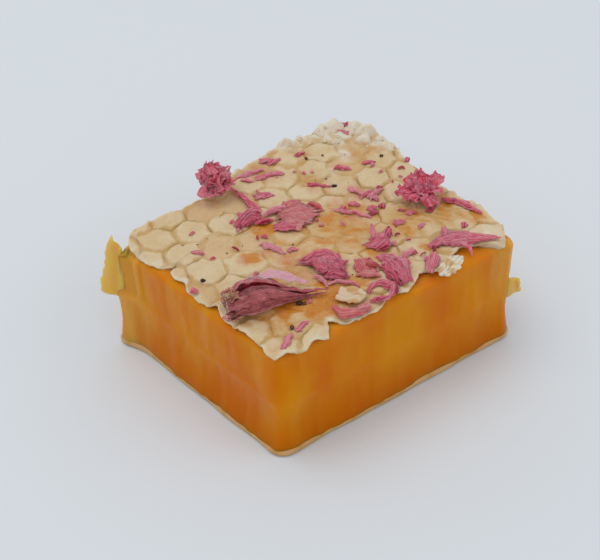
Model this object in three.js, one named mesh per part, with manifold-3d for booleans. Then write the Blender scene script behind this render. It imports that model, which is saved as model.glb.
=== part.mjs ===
// A piece of cut comb honey with dried flower petals lying on it.
// Millimetres, +Z up. The slab lies on z = 0, its longer cut side runs along +X,
// and the origin is under the middle of its box.

import * as THREE from "three";
import { mergeVertices } from "three/addons/utils/BufferGeometryUtils.js";
import Module from "manifold-3d";

const wasm = await Module();
wasm.setup();

// ---------------------------------------------------------------- driving dimensions

// Worker cells: a lattice of hexagons seen from above.
const CELL_PITCH = 5.6; // between the middles of two neighbouring cells
const CELL_TURN = THREE.MathUtils.degToRad(-18.3); // a row of cells, from +X
const CELL_AT = [-18.55, 11.65]; // the middle of one cell
const WALL_HALF = 0.25; // half a wax wall's thickness
const CELL_FLANK = 0.9; // from a wall's face to the full depth of its flute

// The slab's plan, counter-clockwise from the front corner.
const SLAB_CORNERS = [
  [-18.5, -20.5],
  [25.7, -20.3],
  [26.0, 16.5],
  [22.0, 21.3],
  [1.5, 19.4],
  [-19.0, 15.4],
  [-25.4, 15.3],
  [-23.0, 11.0],
];
const CORNER_ROUND = 2;
const OPEN_CORNER = [-24.6, 14.0]; // here the cells are torn open
const OPEN_REACH = 7;
const OPEN_DROP = 1.3; // how far the torn cells end below the others

// Heights of the layers.
const BASE_TOP = 1.1; // lower capping
const LAYER_GAP = 0.3;
const COMB_LOW = BASE_TOP + LAYER_GAP;
const MIDRIB = 9.8; // the wax foundation between the two layers of cells
const COMB_HIGH = 18.5;
const CAP_LOW = COMB_HIGH + LAYER_GAP;
const CAP_THICK = 0.75; // upper capping over a cell's wall
const CAP_DOME = 0.35; // how far a cell's cap rises above its wall
const CAP_FLANK = 0.9; // from the groove to the flat of the cap
const CAP_CELLS = 12; // the slab is cut out of this many cells each way

// Relief of the cut sides.
const SIDE_STEP = 1.15; // between two points along the outline
const FLUTE = 0.45; // honey lies this far behind the cut walls
const OPEN_FLUTE = 0.9; // and this much deeper at the open corner
const RIB_PROUD = 0.15;
const RIB_HALF = 0.9;
const FOOT_SPREAD = 0.7; // the soaked foot of the slab bulges by this
const FOOT_RISE = 6;

// The torn edge of the upper capping, counter-clockwise from the front corner: bites that
// show the honey, tags that stand out over it.
const CAP_EDGE = [
  [-18.7, -20.1],
  [-17.0, -20.3],
  [-14.3, -21.3],
  [-12.3, -20.4],
  [-10.2, -21.1],
  [-8.6, -18.5],
  [-6.1, -20.3],
  [-4.9, -20.1],
  [-1.6, -20.4],
  [0.5, -19.6],
  [2.6, -18.9],
  [4.4, -20.0],
  [6.7, -19.1],
  [8.2, -18.0],
  [9.3, -18.2],
  [10.8, -19.5],
  [13.1, -18.9],
  [15.4, -17.5],
  [17.6, -17.0],
  [20.8, -18.9],
  [22.6, -20.5],
  [23.7, -19.5],
  [24.7, -18.1],
  [25.7, -16.7],
  [25.4, -15.3],
  [25.6, -13.8],
  [25.9, -12.4],
  [26.4, -10.8],
  [25.4, -8.4],
  [25.2, -7.3],
  [25.2, -4.6],
  [25.3, -2.6],
  [25.0, -0.4],
  [24.8, 1.9],
  [25.2, 4.1],
  [25.1, 6.8],
  [26.2, 8.8],
  [26.2, 11.0],
  [26.0, 14.4],
  [24.9, 17.9],
  [23.6, 20.5],
  [20.4, 22.1],
  [17.8, 21.8],
  [14.9, 21.3],
  [12.9, 21.2],
  [11.6, 22.3],
  [9.7, 21.2],
  [8.2, 20.8],
  [6.5, 20.5],
  [4.7, 19.8],
  [3.5, 20.1],
  [2.1, 19.9],
  [1.0, 20.1],
  [-0.6, 19.1],
  [-3.0, 18.0],
  [-5.2, 17.5],
  [-7.7, 16.8],
  [-9.5, 16.6],
  [-11.4, 16.4],
  [-13.0, 16.7],
  [-15.0, 16.5],
  [-16.7, 16.7],
  [-18.3, 16.1],
  [-19.9, 15.7],
  [-21.7, 14.6],
  [-22.6, 13.2],
  [-22.8, 11.7],
  [-22.3, 9.1],
  [-22.3, 7.5],
  [-21.5, 6.1],
  [-20.1, 4.9],
  [-18.7, 4.8],
  [-19.5, 4.2],
  [-20.7, 3.8],
  [-21.0, 2.5],
  [-20.4, 0.6],
  [-20.7, -0.5],
  [-20.5, -2.0],
  [-20.6, -4.4],
  [-20.1, -6.0],
  [-19.2, -6.8],
  [-19.8, -8.3],
  [-20.0, -9.9],
  [-19.7, -11.8],
  [-19.1, -13.7],
  [-19.0, -15.3],
  [-18.7, -17.4],
  [-19.1, -19.1],
];
const BASE_POINTS = 72;
const SUNK_SHARE = 0.16; // of the cells whose cap has sunk onto the honey
const SUNK_DEPTH = 0.25;

// Crumbled wax on the far corner: [x, y, radius].
const WAX_CRUMBS = [
  [19.0, 20.3, 1.5],
  [21.4, 20.2, 1.9],
  [23.6, 18.4, 1.8],
  [21.0, 17.4, 1.4],
  [24.6, 15.6, 1.5],
  [16.4, 19.9, 1.1],
  [24.9, 12.6, 1.2],
  [25.2, 9.6, 1.0],
  [22.6, 14.4, 1.1],
  [18.2, 17.9, 1.0],
  [11.7, 21.0, 1.1],
  [14.4, 20.5, 0.9],
];

// Scraps of petal stuck to the wax: [x, y, heading in degrees, length, width].
const SCRAPS = [
  [3.7, 15.4, -8, 3.2, 1.1],
  [7.0, 17.9, 5, 2.2, 1.1],
  [0.5, 11.1, -20, 2.8, 1.6],
  [9.2, 8.4, -42, 4.0, 0.8],
  [15.4, 10.0, -55, 2.8, 0.9],
  [19.6, 8.6, -30, 2.0, 0.9],
  [11.9, 17.0, 20, 2.4, 0.9],
  [-3.6, -2.7, -30, 1.6, 1.0],
  [-5.6, -0.6, -75, 5.0, 1.0],
  [-15.5, 4.8, -25, 1.8, 0.9],
  [-20.2, -2.0, -60, 1.5, 1.0],
  [-15.6, -18.6, 30, 3.4, 0.8],
  [-12.2, -17.4, 10, 2.6, 0.9],
  [15.5, -9.6, 15, 1.6, 0.7],
  [20.6, -13.6, 50, 1.6, 0.8],
  [12.3, -1.6, 75, 2.2, 1.5],
  [11.7, -2.9, 10, 1.5, 1.1],
  [14.0, -2.0, 40, 1.6, 0.9],
  [8.7, 1.0, 20, 1.5, 1.2],
  [10.6, 0.9, -50, 1.8, 1.0],
  [13.9, 1.9, 8, 3.0, 1.3],
  [13.5, -6.8, -30, 1.8, 1.4],
  [16.2, -6.0, -20, 2.0, 1.0],
  [8.9, -1.0, -55, 6.4, 0.7],
];
const SCRAP_THICK = 0.5;

// Torn cell walls that stand off the slab's corners. Each is a bent patch between four
// points: its root at the slab, low and high, then its free edge, low and high.
const FLAPS = [
  [[-23.9, 14.0, 8.6], [-23.6, 14.0, 18.6], [-26.9, 16.9, 10.4], [-24.0, 15.8, 20.6]],
  [[24.6, -18.9, 7.4], [24.8, -18.9, 11.6], [27.2, -20.4, 8.2], [26.8, -20.6, 11.0]],
];
const FLAP_THICK = 0.8;

// Petals: a route of [x, y, height over the wax], then the width and how it is spread,
// ruffled and folded along the route.
const PETAL_GAP = 0.5; // from the wax to the middle of the petal's thickness
const PETAL_THICK = 0.4;
const PETAL_CLOSE = 0.62; // how far a petal narrows again towards its tip
const PETAL_TIP = 0.35; // how far the corners of its tip stand back, as a share of its width
const TIP_FROM = 0.3; // where along it the corners start to stand back
const PETALS = {
  petal_fan: {
    route: [[-1.8, 6.0, 0.5], [0.8, 4.7, 0.9], [3.3, 3.7, 0.8], [5.7, 2.8, 0.4]],
    width: 6.4, narrow: 0.16, widest: 0.8, ruffle: 0.4, ruffles: 2, cup: 0.3, bank: 0.2,
  },
  petal_fan_low: {
    route: [[-2.9, 3.2, 0.3], [-1.5, 2.3, 0.7], [0.2, 0.9, 0.4]],
    width: 2.6, narrow: 0.5, widest: 0.55, ruffle: 0.3, ruffles: 2, cup: 0.3, bank: 0,
  },
  petal_knot: {
    route: [[-7.2, 6.6, 0.4], [-5.5, 6.9, 1.1], [-3.9, 7.0, 1.4], [-2.7, 6.9, 0.8]],
    width: 3.3, narrow: 0.45, widest: 0.45, ruffle: 0.5, ruffles: 2, cup: 0.5, bank: 0.4,
  },
  petal_strand: {
    route: [[-2.6, 15.6, 0.3], [-2.9, 13.2, 0.8], [-2.7, 10.6, 0.7], [-2.4, 8.9, 0.3]],
    width: 1.0, narrow: 0.7, widest: 0.5, ruffle: 0.05, ruffles: 1, cup: 0.3, bank: 0,
  },
  petal_long: {
    route: [[13.2, -14.3, 0.5], [15.7, -14.9, 1.0], [18.1, -16.3, 1.1], [20.3, -17.8, 0.9],
      [22.6, -19.2, 0.5]],
    width: 3.0, narrow: 0.3, widest: 0.35, ruffle: 0.35, ruffles: 2, cup: 0.5, bank: 0.3,
  },
  petal_sprig: {
    route: [[5.6, -8.5, 0.3], [7.2, -9.1, 1.2], [8.9, -8.6, 1.4], [10.6, -8.1, 0.7]],
    width: 3.0, narrow: 0.4, widest: 0.4, ruffle: 0.6, ruffles: 2, cup: 0.5, bank: 0.3,
  },
  petal_bundle: {
    route: [[-4.1, -5.8, 0.3], [-2.4, -7.8, 1.2], [-1.6, -10.2, 1.5], [-2.2, -12.9, 0.7]],
    width: 4.6, narrow: 0.25, widest: 0.6, ruffle: 0.6, ruffles: 2, cup: 0.4, bank: 0.2,
  },
  petal_flat: {
    route: [[3.4, -11.0, 0.3], [2.5, -12.9, 0.6], [1.5, -14.7, 0.4]],
    width: 3.4, narrow: 0.7, widest: 0.4, ruffle: 0.25, ruffles: 2, cup: 0.2, bank: 0,
  },
  petal_pleated: {
    route: [[5.9, -11.5, 0.3], [6.2, -13.8, 1.1], [6.0, -16.4, 1.1], [5.2, -19.0, 0.5]],
    width: 3.4, narrow: 0.3, widest: 0.6, ruffle: 0.45, ruffles: 2, cup: 0.4, bank: 0.2,
  },
  petal_looped: {
    route: [[-0.4, -16.9, 0.4], [1.6, -16.7, 0.9], [2.8, -18.3, 0.9], [1.6, -19.8, 0.7],
      [-0.5, -19.8, 0.4]],
    width: 1.3, narrow: 0.6, widest: 0.5, ruffle: 0.3, ruffles: 2, cup: 0.3, bank: 0.4,
  },
  petal_coral: {
    route: [[-6.6, -16.9, 0.3], [-5.9, -18.6, 0.6], [-4.2, -19.6, 0.6], [-2.4, -19.5, 0.3]],
    width: 2.2, narrow: 0.45, widest: 0.5, ruffle: 0.3, ruffles: 2, cup: 0.3, bank: 0.2,
  },
  petal_slip: {
    route: [[13.0, -15.9, 0.3], [11.9, -16.8, 0.9], [10.6, -17.9, 0.8], [9.2, -18.9, 0.3]],
    width: 1.9, narrow: 0.35, widest: 0.6, ruffle: 0.3, ruffles: 2, cup: 0.4, bank: 0.3,
  },
  petal_edge_strand: {
    route: [[22.9, -6.6, 0.3], [23.8, -8.6, 0.8], [24.3, -10.8, 0.7], [24.6, -13.0, 0.3]],
    width: 1.2, narrow: 0.5, widest: 0.5, ruffle: 0.2, ruffles: 2, cup: 0.4, bank: 0.2,
  },
};
const PETAL_STEPS = 9;
const PETAL_ROWS = 4;

// Crumpled tufts: blades from one root at [x, y], each a heading and a tilt in degrees,
// a length and a width.
const TUFTS = {
  petal_tuft_back: {
    root: [-5.4, 15.2],
    blades: [
      [80, 62, 5.8, 4.2],
      [125, 50, 4.6, 3.6],
      [30, 40, 4.4, 3.4],
      [-5, 25, 3.6, 2.6],
      [186, 14, 3.4, 2.8],
    ],
  },
  petal_tuft_right: {
    root: [19.7, -4.5],
    blades: [
      [8, 30, 4.8, 3.2],
      [62, 52, 4.2, 3.4],
      [165, 22, 4.2, 3.6],
      [262, 24, 3.4, 3.0],
    ],
  },
};
const BLADE_STEPS = 5;
const BLADE_ROWS = 3;
const TUFT_ROOT = 0.75; // radius of the lump where the blades meet

// The big dried floret: a rolled bundle, open at one end, that narrows to a tail.
const FLORET_ROUTE = [[-19.2, -9.2], [-16.6, -9.9], [-13.9, -10.5], [-11.0, -11.8], [-8.1, -13.0],
  [-5.4, -13.7]];
const FLORET_WIDE = 2.75; // half its width where it is widest
const FLORET_HIGH = 1.7; // half its height there
const FLORET_MOUTH = 0.72; // the size of its open end, as a share of the widest section
const FLORET_TAIL = 0.14; // the size of its tail
const FLORET_SIDES = 14;
const FLORET_STEPS = 9;
const FLORET_FOLDS = 5;

// Loose plates of wax lying on top.
const WAX_PLATES = {
  wax_disc: { at: [-3.1, -16.4], heading: -37, length: 4.0, width: 3.3, lift: 0.35 },
  wax_scrap_wrinkled: { at: [12.4, -20.3], heading: 18, length: 5.6, width: 2.6, lift: 0.2 },
};
const PLATE_THICK = 0.55;

// ---------------------------------------------------------------- numbers and waves

// A repeatable number from 0 to 1 for two whole numbers.
function chance(i, j) {
  const s = Math.sin(i * 12.9898 + j * 78.233 + 4.1) * 43758.5453;
  return s - Math.floor(s);
}

// Three crossing sine waves, from -1 to 1, about LENGTH mm long.
function waves(x, y, length, seed = 0) {
  const k = (2 * Math.PI) / length;
  const a = Math.sin(k * (x + 0.31 * y) + seed);
  const b = Math.sin(k * (0.83 * y - 0.4 * x) + 1.7 * seed + 1.3);
  const c = Math.sin(k * 0.61 * (x - 1.1 * y) + 2.3 * seed + 2.9);
  return (a + b + c) / 3;
}

const { smoothstep, lerp, degToRad } = THREE.MathUtils;

// ---------------------------------------------------------------- the lattice of cells

// The cell over a point: its numbers along two rows, and how far the point is from its wall.
// The lower layer is staggered, so that each of its cells backs onto three of the upper ones.
function cellAt(x, y, stagger) {
  const root3 = Math.sqrt(3);
  const cos = Math.cos(CELL_TURN);
  const sin = Math.sin(CELL_TURN);
  const u = x - CELL_AT[0];
  const v = y - CELL_AT[1];
  const a = (u * cos + v * sin) / CELL_PITCH - stagger / 2;
  const b = (v * cos - u * sin) / CELL_PITCH - stagger / (2 * root3);
  const q = a - b / root3;
  const r = (2 * b) / root3;
  let i = Math.round(q);
  let j = Math.round(r);
  const k = Math.round(-q - r);
  const offI = Math.abs(i - q);
  const offJ = Math.abs(j - r);
  const offK = Math.abs(k + q + r);
  if (offI > offJ && offI > offK) i = -j - k;
  else if (offJ > offK) j = -i - k;
  const along = (a - i - j / 2) * CELL_PITCH;
  const across = (b - (j * root3) / 2) * CELL_PITCH;
  const reach = Math.max(
    Math.abs(along),
    Math.abs(along / 2 + (across * root3) / 2),
    Math.abs(along / 2 - (across * root3) / 2),
  );
  return { i, j, toWall: CELL_PITCH / 2 - reach };
}

// The middle of a cell of the upper layer.
function cellMiddle(i, j) {
  const along = (i + j / 2) * CELL_PITCH;
  const across = ((j * Math.sqrt(3)) / 2) * CELL_PITCH;
  return [
    CELL_AT[0] + along * Math.cos(CELL_TURN) - across * Math.sin(CELL_TURN),
    CELL_AT[1] + along * Math.sin(CELL_TURN) + across * Math.cos(CELL_TURN),
  ];
}

// ---------------------------------------------------------------- solids from surfaces

function geometryOf(points, faces) {
  return new THREE.BufferGeometry().setFromPoints(points).setIndex(faces);
}

// The edges that only one triangle has, each in that triangle's direction.
function freeEdges(faces) {
  const edges = new Map();
  for (let n = 0; n < faces.length; n++) {
    const a = faces[n];
    const b = faces[n % 3 === 2 ? n - 2 : n + 1];
    if (!edges.delete(`${b} ${a}`)) edges.set(`${a} ${b}`, [a, b]);
  }
  return [...edges.values()];
}

// A closed skin over two grids of the same size, the second one behind the first.
function closedGrid(steps, rows, front, back) {
  const points = [];
  const faces = [];
  const side = (steps + 1) * (rows + 1);
  const at = (layer, i, j) => layer * side + i * (rows + 1) + j;
  for (const surface of [front, back])
    for (let i = 0; i <= steps; i++)
      for (let j = 0; j <= rows; j++) points.push(surface(i, j));
  const quad = (a, b, c, d) => faces.push(a, b, c, a, c, d);
  for (let i = 0; i < steps; i++)
    for (let j = 0; j < rows; j++) {
      quad(at(0, i, j), at(0, i + 1, j), at(0, i + 1, j + 1), at(0, i, j + 1));
      faces.push(at(1, i, j), at(1, i + 1, j + 1), at(1, i + 1, j));
      faces.push(at(1, i, j), at(1, i, j + 1), at(1, i + 1, j + 1));
    }
  for (let i = 0; i < steps; i++) {
    quad(at(0, i, 0), at(1, i, 0), at(1, i + 1, 0), at(0, i + 1, 0));
    quad(at(0, i + 1, rows), at(1, i + 1, rows), at(1, i, rows), at(0, i, rows));
  }
  for (let j = 0; j < rows; j++) {
    quad(at(0, 0, j + 1), at(1, 0, j + 1), at(1, 0, j), at(0, 0, j));
    quad(at(0, steps, j), at(1, steps, j), at(1, steps, j + 1), at(0, steps, j + 1));
  }
  return geometryOf(points, faces);
}

const UP = new THREE.Vector3(0, 0, 1);

// The normal of surface(u, v), from two short steps along it.
function normalOf(surface, u, v) {
  const small = 1e-3;
  const alongU = surface(u + small, v).sub(surface(u - small, v));
  const alongV = surface(u, v + small).sub(surface(u, v - small));
  return alongU.cross(alongV).normalize();
}

// A thin sheet about surface(u, v), with u from 0 to 1 and v from -1 to 1. Its two skins stand
// apart along the surface's normal, or straight up where the surface is all folds.
function sheet(steps, rows, thickness, surface, apart = normalOf) {
  const offset = (i, j, half) => {
    const u = i / steps;
    const v = (2 * j) / rows - 1;
    return surface(u, v).addScaledVector(apart(surface, u, v), half);
  };
  return closedGrid(
    steps,
    rows,
    (i, j) => offset(i, j, thickness / 2),
    (i, j) => offset(i, j, -thickness / 2),
  );
}

// A skin through rings with the same number of points, closed at its first and last ring.
function loft(rings) {
  const count = rings[0].length;
  const faces = [];
  for (let k = 0; k + 1 < rings.length; k++)
    for (let i = 0; i < count; i++) {
      const next = (i + 1) % count;
      const [a, b] = [k * count + i, k * count + next];
      const [c, d] = [b + count, a + count];
      faces.push(a, b, c, a, c, d);
    }
  const last = (rings.length - 1) * count;
  for (const [a, b, c] of endFaces(rings[0])) faces.push(c, b, a);
  for (const [a, b, c] of endFaces(rings.at(-1))) faces.push(last + a, last + b, last + c);
  return geometryOf(rings.flat(), faces);
}

// The triangles that fill one ring, seen along the axis in which it is widest open.
function endFaces(ring) {
  const normal = new THREE.Vector3();
  ring.forEach((p, i) => normal.add(p.clone().cross(ring[(i + 1) % ring.length])));
  normal.normalize();
  const across = new THREE.Vector3(normal.z, normal.x, normal.y).cross(normal).normalize();
  const up = normal.clone().cross(across);
  const flat = ring.map((p) => new THREE.Vector2(p.dot(across), p.dot(up)));
  return THREE.ShapeUtils.triangulateShape(flat, []);
}

function solid(geometry) {
  const bare = geometry.clone();
  bare.deleteAttribute("normal");
  bare.deleteAttribute("uv");
  const merged = mergeVertices(bare, 1e-4);
  return new wasm.Manifold(
    new wasm.Mesh({
      numProp: 3,
      vertProperties: merged.getAttribute("position").array,
      triVerts: new Uint32Array(merged.index.array),
    }),
  );
}

function geometryOfSolid(made) {
  const { numProp, numVert, vertProperties, triVerts } = made.getMesh();
  const positions = new Float32Array(numVert * 3);
  for (let i = 0; i < numVert; i++)
    positions.set(vertProperties.subarray(i * numProp, i * numProp + 3), i * 3);
  return new THREE.BufferGeometry()
    .setAttribute("position", new THREE.BufferAttribute(positions, 3))
    .setIndex(new THREE.BufferAttribute(triVerts, 1));
}

// All the pieces in one, or only the largest body where a scrap comes off.
function joined(pieces) {
  const whole = pieces.reduce((sum, piece) => sum.add(piece));
  return whole.decompose().sort((a, b) => b.volume() - a.volume())[0];
}

// ---------------------------------------------------------------- plan outlines

function roundedShape(corners, radius) {
  const at = corners.map(([x, y]) => new THREE.Vector2(x, y));
  const shape = new THREE.Shape();
  at.forEach((corner, i) => {
    const back = at.at(i - 1).clone().sub(corner).setLength(radius).add(corner);
    const on = at[(i + 1) % at.length].clone().sub(corner).setLength(radius).add(corner);
    if (i === 0) shape.moveTo(back.x, back.y);
    else shape.lineTo(back.x, back.y);
    shape.quadraticCurveTo(corner.x, corner.y, on.x, on.y);
  });
  return shape.closePath();
}

// Evenly spaced points of an outline, each with its outward normal.
function outlinePoints(corners, count) {
  const points = roundedShape(corners, CORNER_ROUND).getSpacedPoints(count).slice(0, count);
  return points.map((p, i) => {
    const run = points[(i + 1) % count].clone().sub(points.at(i - 1)).normalize();
    return { x: p.x, y: p.y, nx: run.y, ny: -run.x };
  });
}

// ---------------------------------------------------------------- comb

// 1 at the open corner, 0 past its reach.
function openness(x, y) {
  const away = Math.hypot(x - OPEN_CORNER[0], y - OPEN_CORNER[1]);
  return 1 - smoothstep(away, 0, OPEN_REACH);
}

// How far the cut side stands out at a point of the outline.
function sideRelief(x, y, z) {
  const upper = smoothstep(cellAt(x, y, 0).toWall, WALL_HALF, WALL_HALF + CELL_FLANK);
  const lower = smoothstep(cellAt(x, y, 1).toWall, WALL_HALF, WALL_HALF + CELL_FLANK);
  const layer = smoothstep(z, MIDRIB - RIB_HALF, MIDRIB + RIB_HALF);
  const rib = Math.exp(-(((z - MIDRIB) / RIB_HALF) ** 2));
  const depth = FLUTE + OPEN_FLUTE * openness(x, y) * layer;
  const foot = FOOT_SPREAD * (1 - smoothstep(z, 0, FOOT_RISE));
  const sag = 0.25 * waves(x + y, z * 1.4, 19, 2);
  return foot + sag + RIB_PROUD * rib - depth * lerp(lower, upper, layer) * (1 - rib);
}

const COMB_LEVELS = [0, 0.12, 0.28, 0.42, 0.49, 0.58, 0.74, 0.9, 1];

function combSolid() {
  const perimeter = roundedShape(SLAB_CORNERS, CORNER_ROUND).getLength();
  const outline = outlinePoints(SLAB_CORNERS, Math.round(perimeter / SIDE_STEP));
  const rings = COMB_LEVELS.map((level) => {
    const z = lerp(COMB_LOW, COMB_HIGH, level);
    return outline.map(({ x, y, nx, ny }) => {
      const out = sideRelief(x, y, z);
      const top = z - OPEN_DROP * openness(x, y) * smoothstep(level, 0.8, 1);
      return new THREE.Vector3(x + nx * out, y + ny * out, top);
    });
  });
  return solid(loft(rings));
}

// A torn wall: the patch between its four points, bent to and fro across its width.
function flapSolid([rootLow, rootHigh, freeLow, freeHigh]) {
  const corners = [rootLow, rootHigh, freeLow, freeHigh].map((p) => new THREE.Vector3(...p));
  const [lowIn, highIn, lowOut, highOut] = corners;
  const out = lowOut.clone().sub(lowIn).setZ(0).normalize().cross(UP);
  return solid(
    sheet(5, 4, FLAP_THICK, (u, v) => {
      const across = (v + 1) / 2;
      const low = lowIn.clone().lerp(lowOut, across);
      const p = low.lerp(highIn.clone().lerp(highOut, across), u);
      return p.addScaledVector(out, 0.3 * Math.sin(2 * Math.PI * across) + 0.2 * Math.sin(3 * u));
    }),
  );
}

// ---------------------------------------------------------------- upper capping

// How far a cell's cap rises over its walls: some caps have sunk onto the honey.
function capRise(i, j) {
  const own = chance(i, j);
  return own < SUNK_SHARE ? -SUNK_DEPTH : CAP_DOME * (0.6 + 0.6 * own);
}

// The top of the wax over a cell's wall.
const wallTop = (x, y) => CAP_LOW + CAP_THICK + 0.18 * waves(x, y, 17, 1);

// The top of the wax anywhere: flat caps with a groove over each wall.
function capTop(x, y) {
  const { i, j, toWall } = cellAt(x, y, 0);
  return wallTop(x, y) + capRise(i, j) * smoothstep(toWall, 0, CAP_FLANK);
}

// The wax over the whole lattice, as one closed slab: each cell is a flat-topped hexagon,
// and the free edges go down to a floor that is a fan about the middle.
function capSlab(floor) {
  const points = [new THREE.Vector3(0, 0, floor)];
  const faces = [];
  const found = new Map();
  const pointAt = (x, y, rise) => {
    const key = `${Math.round(x * 100)} ${Math.round(y * 100)}`;
    if (!found.has(key)) found.set(key, points.push(new THREE.Vector3(x, y, rise)) - 1);
    return found.get(key);
  };
  const radius = CELL_PITCH / Math.sqrt(3);
  for (let j = -CAP_CELLS; j <= CAP_CELLS; j++)
    for (let i = -CAP_CELLS - Math.floor(j / 2); i <= CAP_CELLS - Math.floor(j / 2); i++) {
      const [x, y] = cellMiddle(i, j);
      const ring = (share, rise) =>
        Array.from({ length: 6 }, (_, k) => {
          const turn = CELL_TURN + (Math.PI / 3) * (k + 0.5);
          const px = x + radius * share * Math.cos(turn);
          const py = y + radius * share * Math.sin(turn);
          return pointAt(px, py, wallTop(px, py) + rise);
        });
      const corners = ring(1, 0);
      const inner = ring(1 - CAP_FLANK / radius, capRise(i, j));
      const middle = pointAt(x, y, wallTop(x, y) + capRise(i, j));
      for (let k = 0; k < 6; k++) {
        const next = (k + 1) % 6;
        faces.push(middle, inner[k], inner[next]);
        faces.push(inner[k], corners[k], corners[next]);
        faces.push(inner[k], corners[next], inner[next]);
      }
    }
  const count = points.length - 1;
  points.push(...points.slice(1).map((p) => p.clone().setZ(floor)));
  for (const [a, b] of freeEdges(faces))
    faces.push(a + count, b + count, b, a + count, b, a, 0, b + count, a + count);
  return solid(geometryOf(points, faces));
}

// The torn outline of the capping, as an upright prism.
function capPrism() {
  const torn = new THREE.Shape(CAP_EDGE.map(([x, y]) => new THREE.Vector2(x, y)));
  const prism = new THREE.ExtrudeGeometry(torn, { depth: 2 * CAP_THICK, bevelEnabled: false });
  return solid(prism.translate(0, 0, CAP_LOW));
}

// A crumb of wax: a ball with its faces pushed in and out.
function crumbSolid([x, y, radius], k) {
  const ball = new THREE.IcosahedronGeometry(radius, radius > 1.15 ? 1 : 0);
  const at = ball.getAttribute("position");
  for (let i = 0; i < at.count; i++) {
    const p = new THREE.Vector3().fromBufferAttribute(at, i);
    const push = 1 + 0.22 * waves(p.x + 3 * k, p.y + p.z * 1.3, radius * 1.3, k);
    at.setXYZ(i, p.x * push, p.y * push, p.z * push * 0.6);
  }
  ball.translate(x, y, capTop(x, y) + 0.15 * radius);
  return solid(ball);
}

// A scrap of petal, half sunk in the wax.
function scrapSolid([x, y, heading, length, width], k) {
  const turn = degToRad(heading);
  const [cos, sin] = [Math.cos(turn), Math.sin(turn)];
  return solid(
    sheet(2, 2, SCRAP_THICK, (u, v) => {
      const along = (u - 0.5) * length;
      const across = v * (width / 2) * (0.55 + 0.45 * Math.sin(Math.PI * u));
      const px = x + along * cos - across * sin;
      const py = y + along * sin + across * cos;
      return new THREE.Vector3(px, py, capTop(px, py) + 0.1 + 0.15 * Math.sin(4 * u + k) * v);
    }),
  );
}

function cappingSolid() {
  const crumbs = WAX_CRUMBS.map(crumbSolid);
  const scraps = SCRAPS.map(scrapSolid);
  const wax = capSlab(CAP_LOW - CAP_THICK).intersect(capPrism());
  return joined([wax, ...crumbs, ...scraps]);
}

// ---------------------------------------------------------------- lower capping

// A thin plate with a rounded, slightly wavy rim, flat below.
function baseGeometry() {
  const outline = outlinePoints(SLAB_CORNERS, BASE_POINTS);
  const rims = [[0, 0], [0.3, 1], [0.75, 1], [1, 0]];
  return loft(
    rims.map(([level, share]) =>
      outline.map(({ x, y, nx, ny }) => {
        const out = FOOT_SPREAD * 0.6 + 0.3 * share + 0.15 * waves(x, y, 9, 4);
        return new THREE.Vector3(x + nx * out, y + ny * out, BASE_TOP * level);
      }),
    ),
  );
}

// ---------------------------------------------------------------- petals

// A petal along its route: its width grows from NARROW to full and closes at the tip, its
// edges lift with CUP, wave with RUFFLE, and its two sides bank to opposite heights.
function petalGeometry({ route, width, narrow, widest, ruffle, ruffles, cup, bank }, k) {
  const spine = new THREE.CatmullRomCurve3(route.map((p) => new THREE.Vector3(...p)));
  const surface = (u, v) => {
    const p = spine.getPoint(u);
    const run = spine.getTangent(u).setZ(0).normalize();
    const grow = narrow + (1 - narrow) * smoothstep(u, 0, widest);
    const close = 1 - PETAL_CLOSE * smoothstep(u, widest, 1);
    const half = (width / 2) * grow * close;
    const tip = PETAL_TIP * width * v * v * smoothstep(u, TIP_FROM, 1);
    const x = p.x - run.y * v * half - run.x * tip;
    const y = p.y + run.x * v * half - run.y * tip;
    const wave = ruffle * Math.sin(2 * Math.PI * ruffles * u + 2.2 * v + k) * (0.35 + 0.65 * v * v);
    const lift = p.z + cup * v * v + bank * v + wave;
    return new THREE.Vector3(x, y, capTop(x, y) + PETAL_GAP + Math.max(0, lift));
  };
  return sheet(PETAL_STEPS, PETAL_ROWS, PETAL_THICK, surface, () => UP);
}

// A tuft: blades that rise from one root, each cupped and ruffled.
function tuftSolid({ root, blades }, k) {
  const foot = capTop(...root) + PETAL_GAP + TUFT_ROOT;
  const lump = new THREE.IcosahedronGeometry(TUFT_ROOT, 0).translate(...root, foot);
  const pieces = blades.map(([heading, tilt, length, width], n) => {
    const [turn, rise] = [degToRad(heading), degToRad(tilt)];
    const out = new THREE.Vector3(Math.cos(turn), Math.sin(turn), 0);
    const side = new THREE.Vector3(-out.y, out.x, 0);
    return solid(
      sheet(BLADE_STEPS, BLADE_ROWS, PETAL_THICK, (u, v) => {
        const along = length * u;
        const half = (width / 2) * (0.25 + 0.75 * Math.sin(Math.PI * (0.12 + 0.68 * u)));
        const wave = 0.35 * u * Math.sin(7 * u + 3 * v + n + k);
        const p = new THREE.Vector3(...root, foot);
        p.addScaledVector(out, along * Math.cos(rise) - 0.3 * v * v * u);
        p.addScaledVector(side, v * half);
        return p.setZ(p.z + along * Math.sin(rise) * (1 - 0.25 * u) + 0.5 * v * v * u + wave);
      }),
    );
  });
  return joined([solid(lump), ...pieces]);
}

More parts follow.
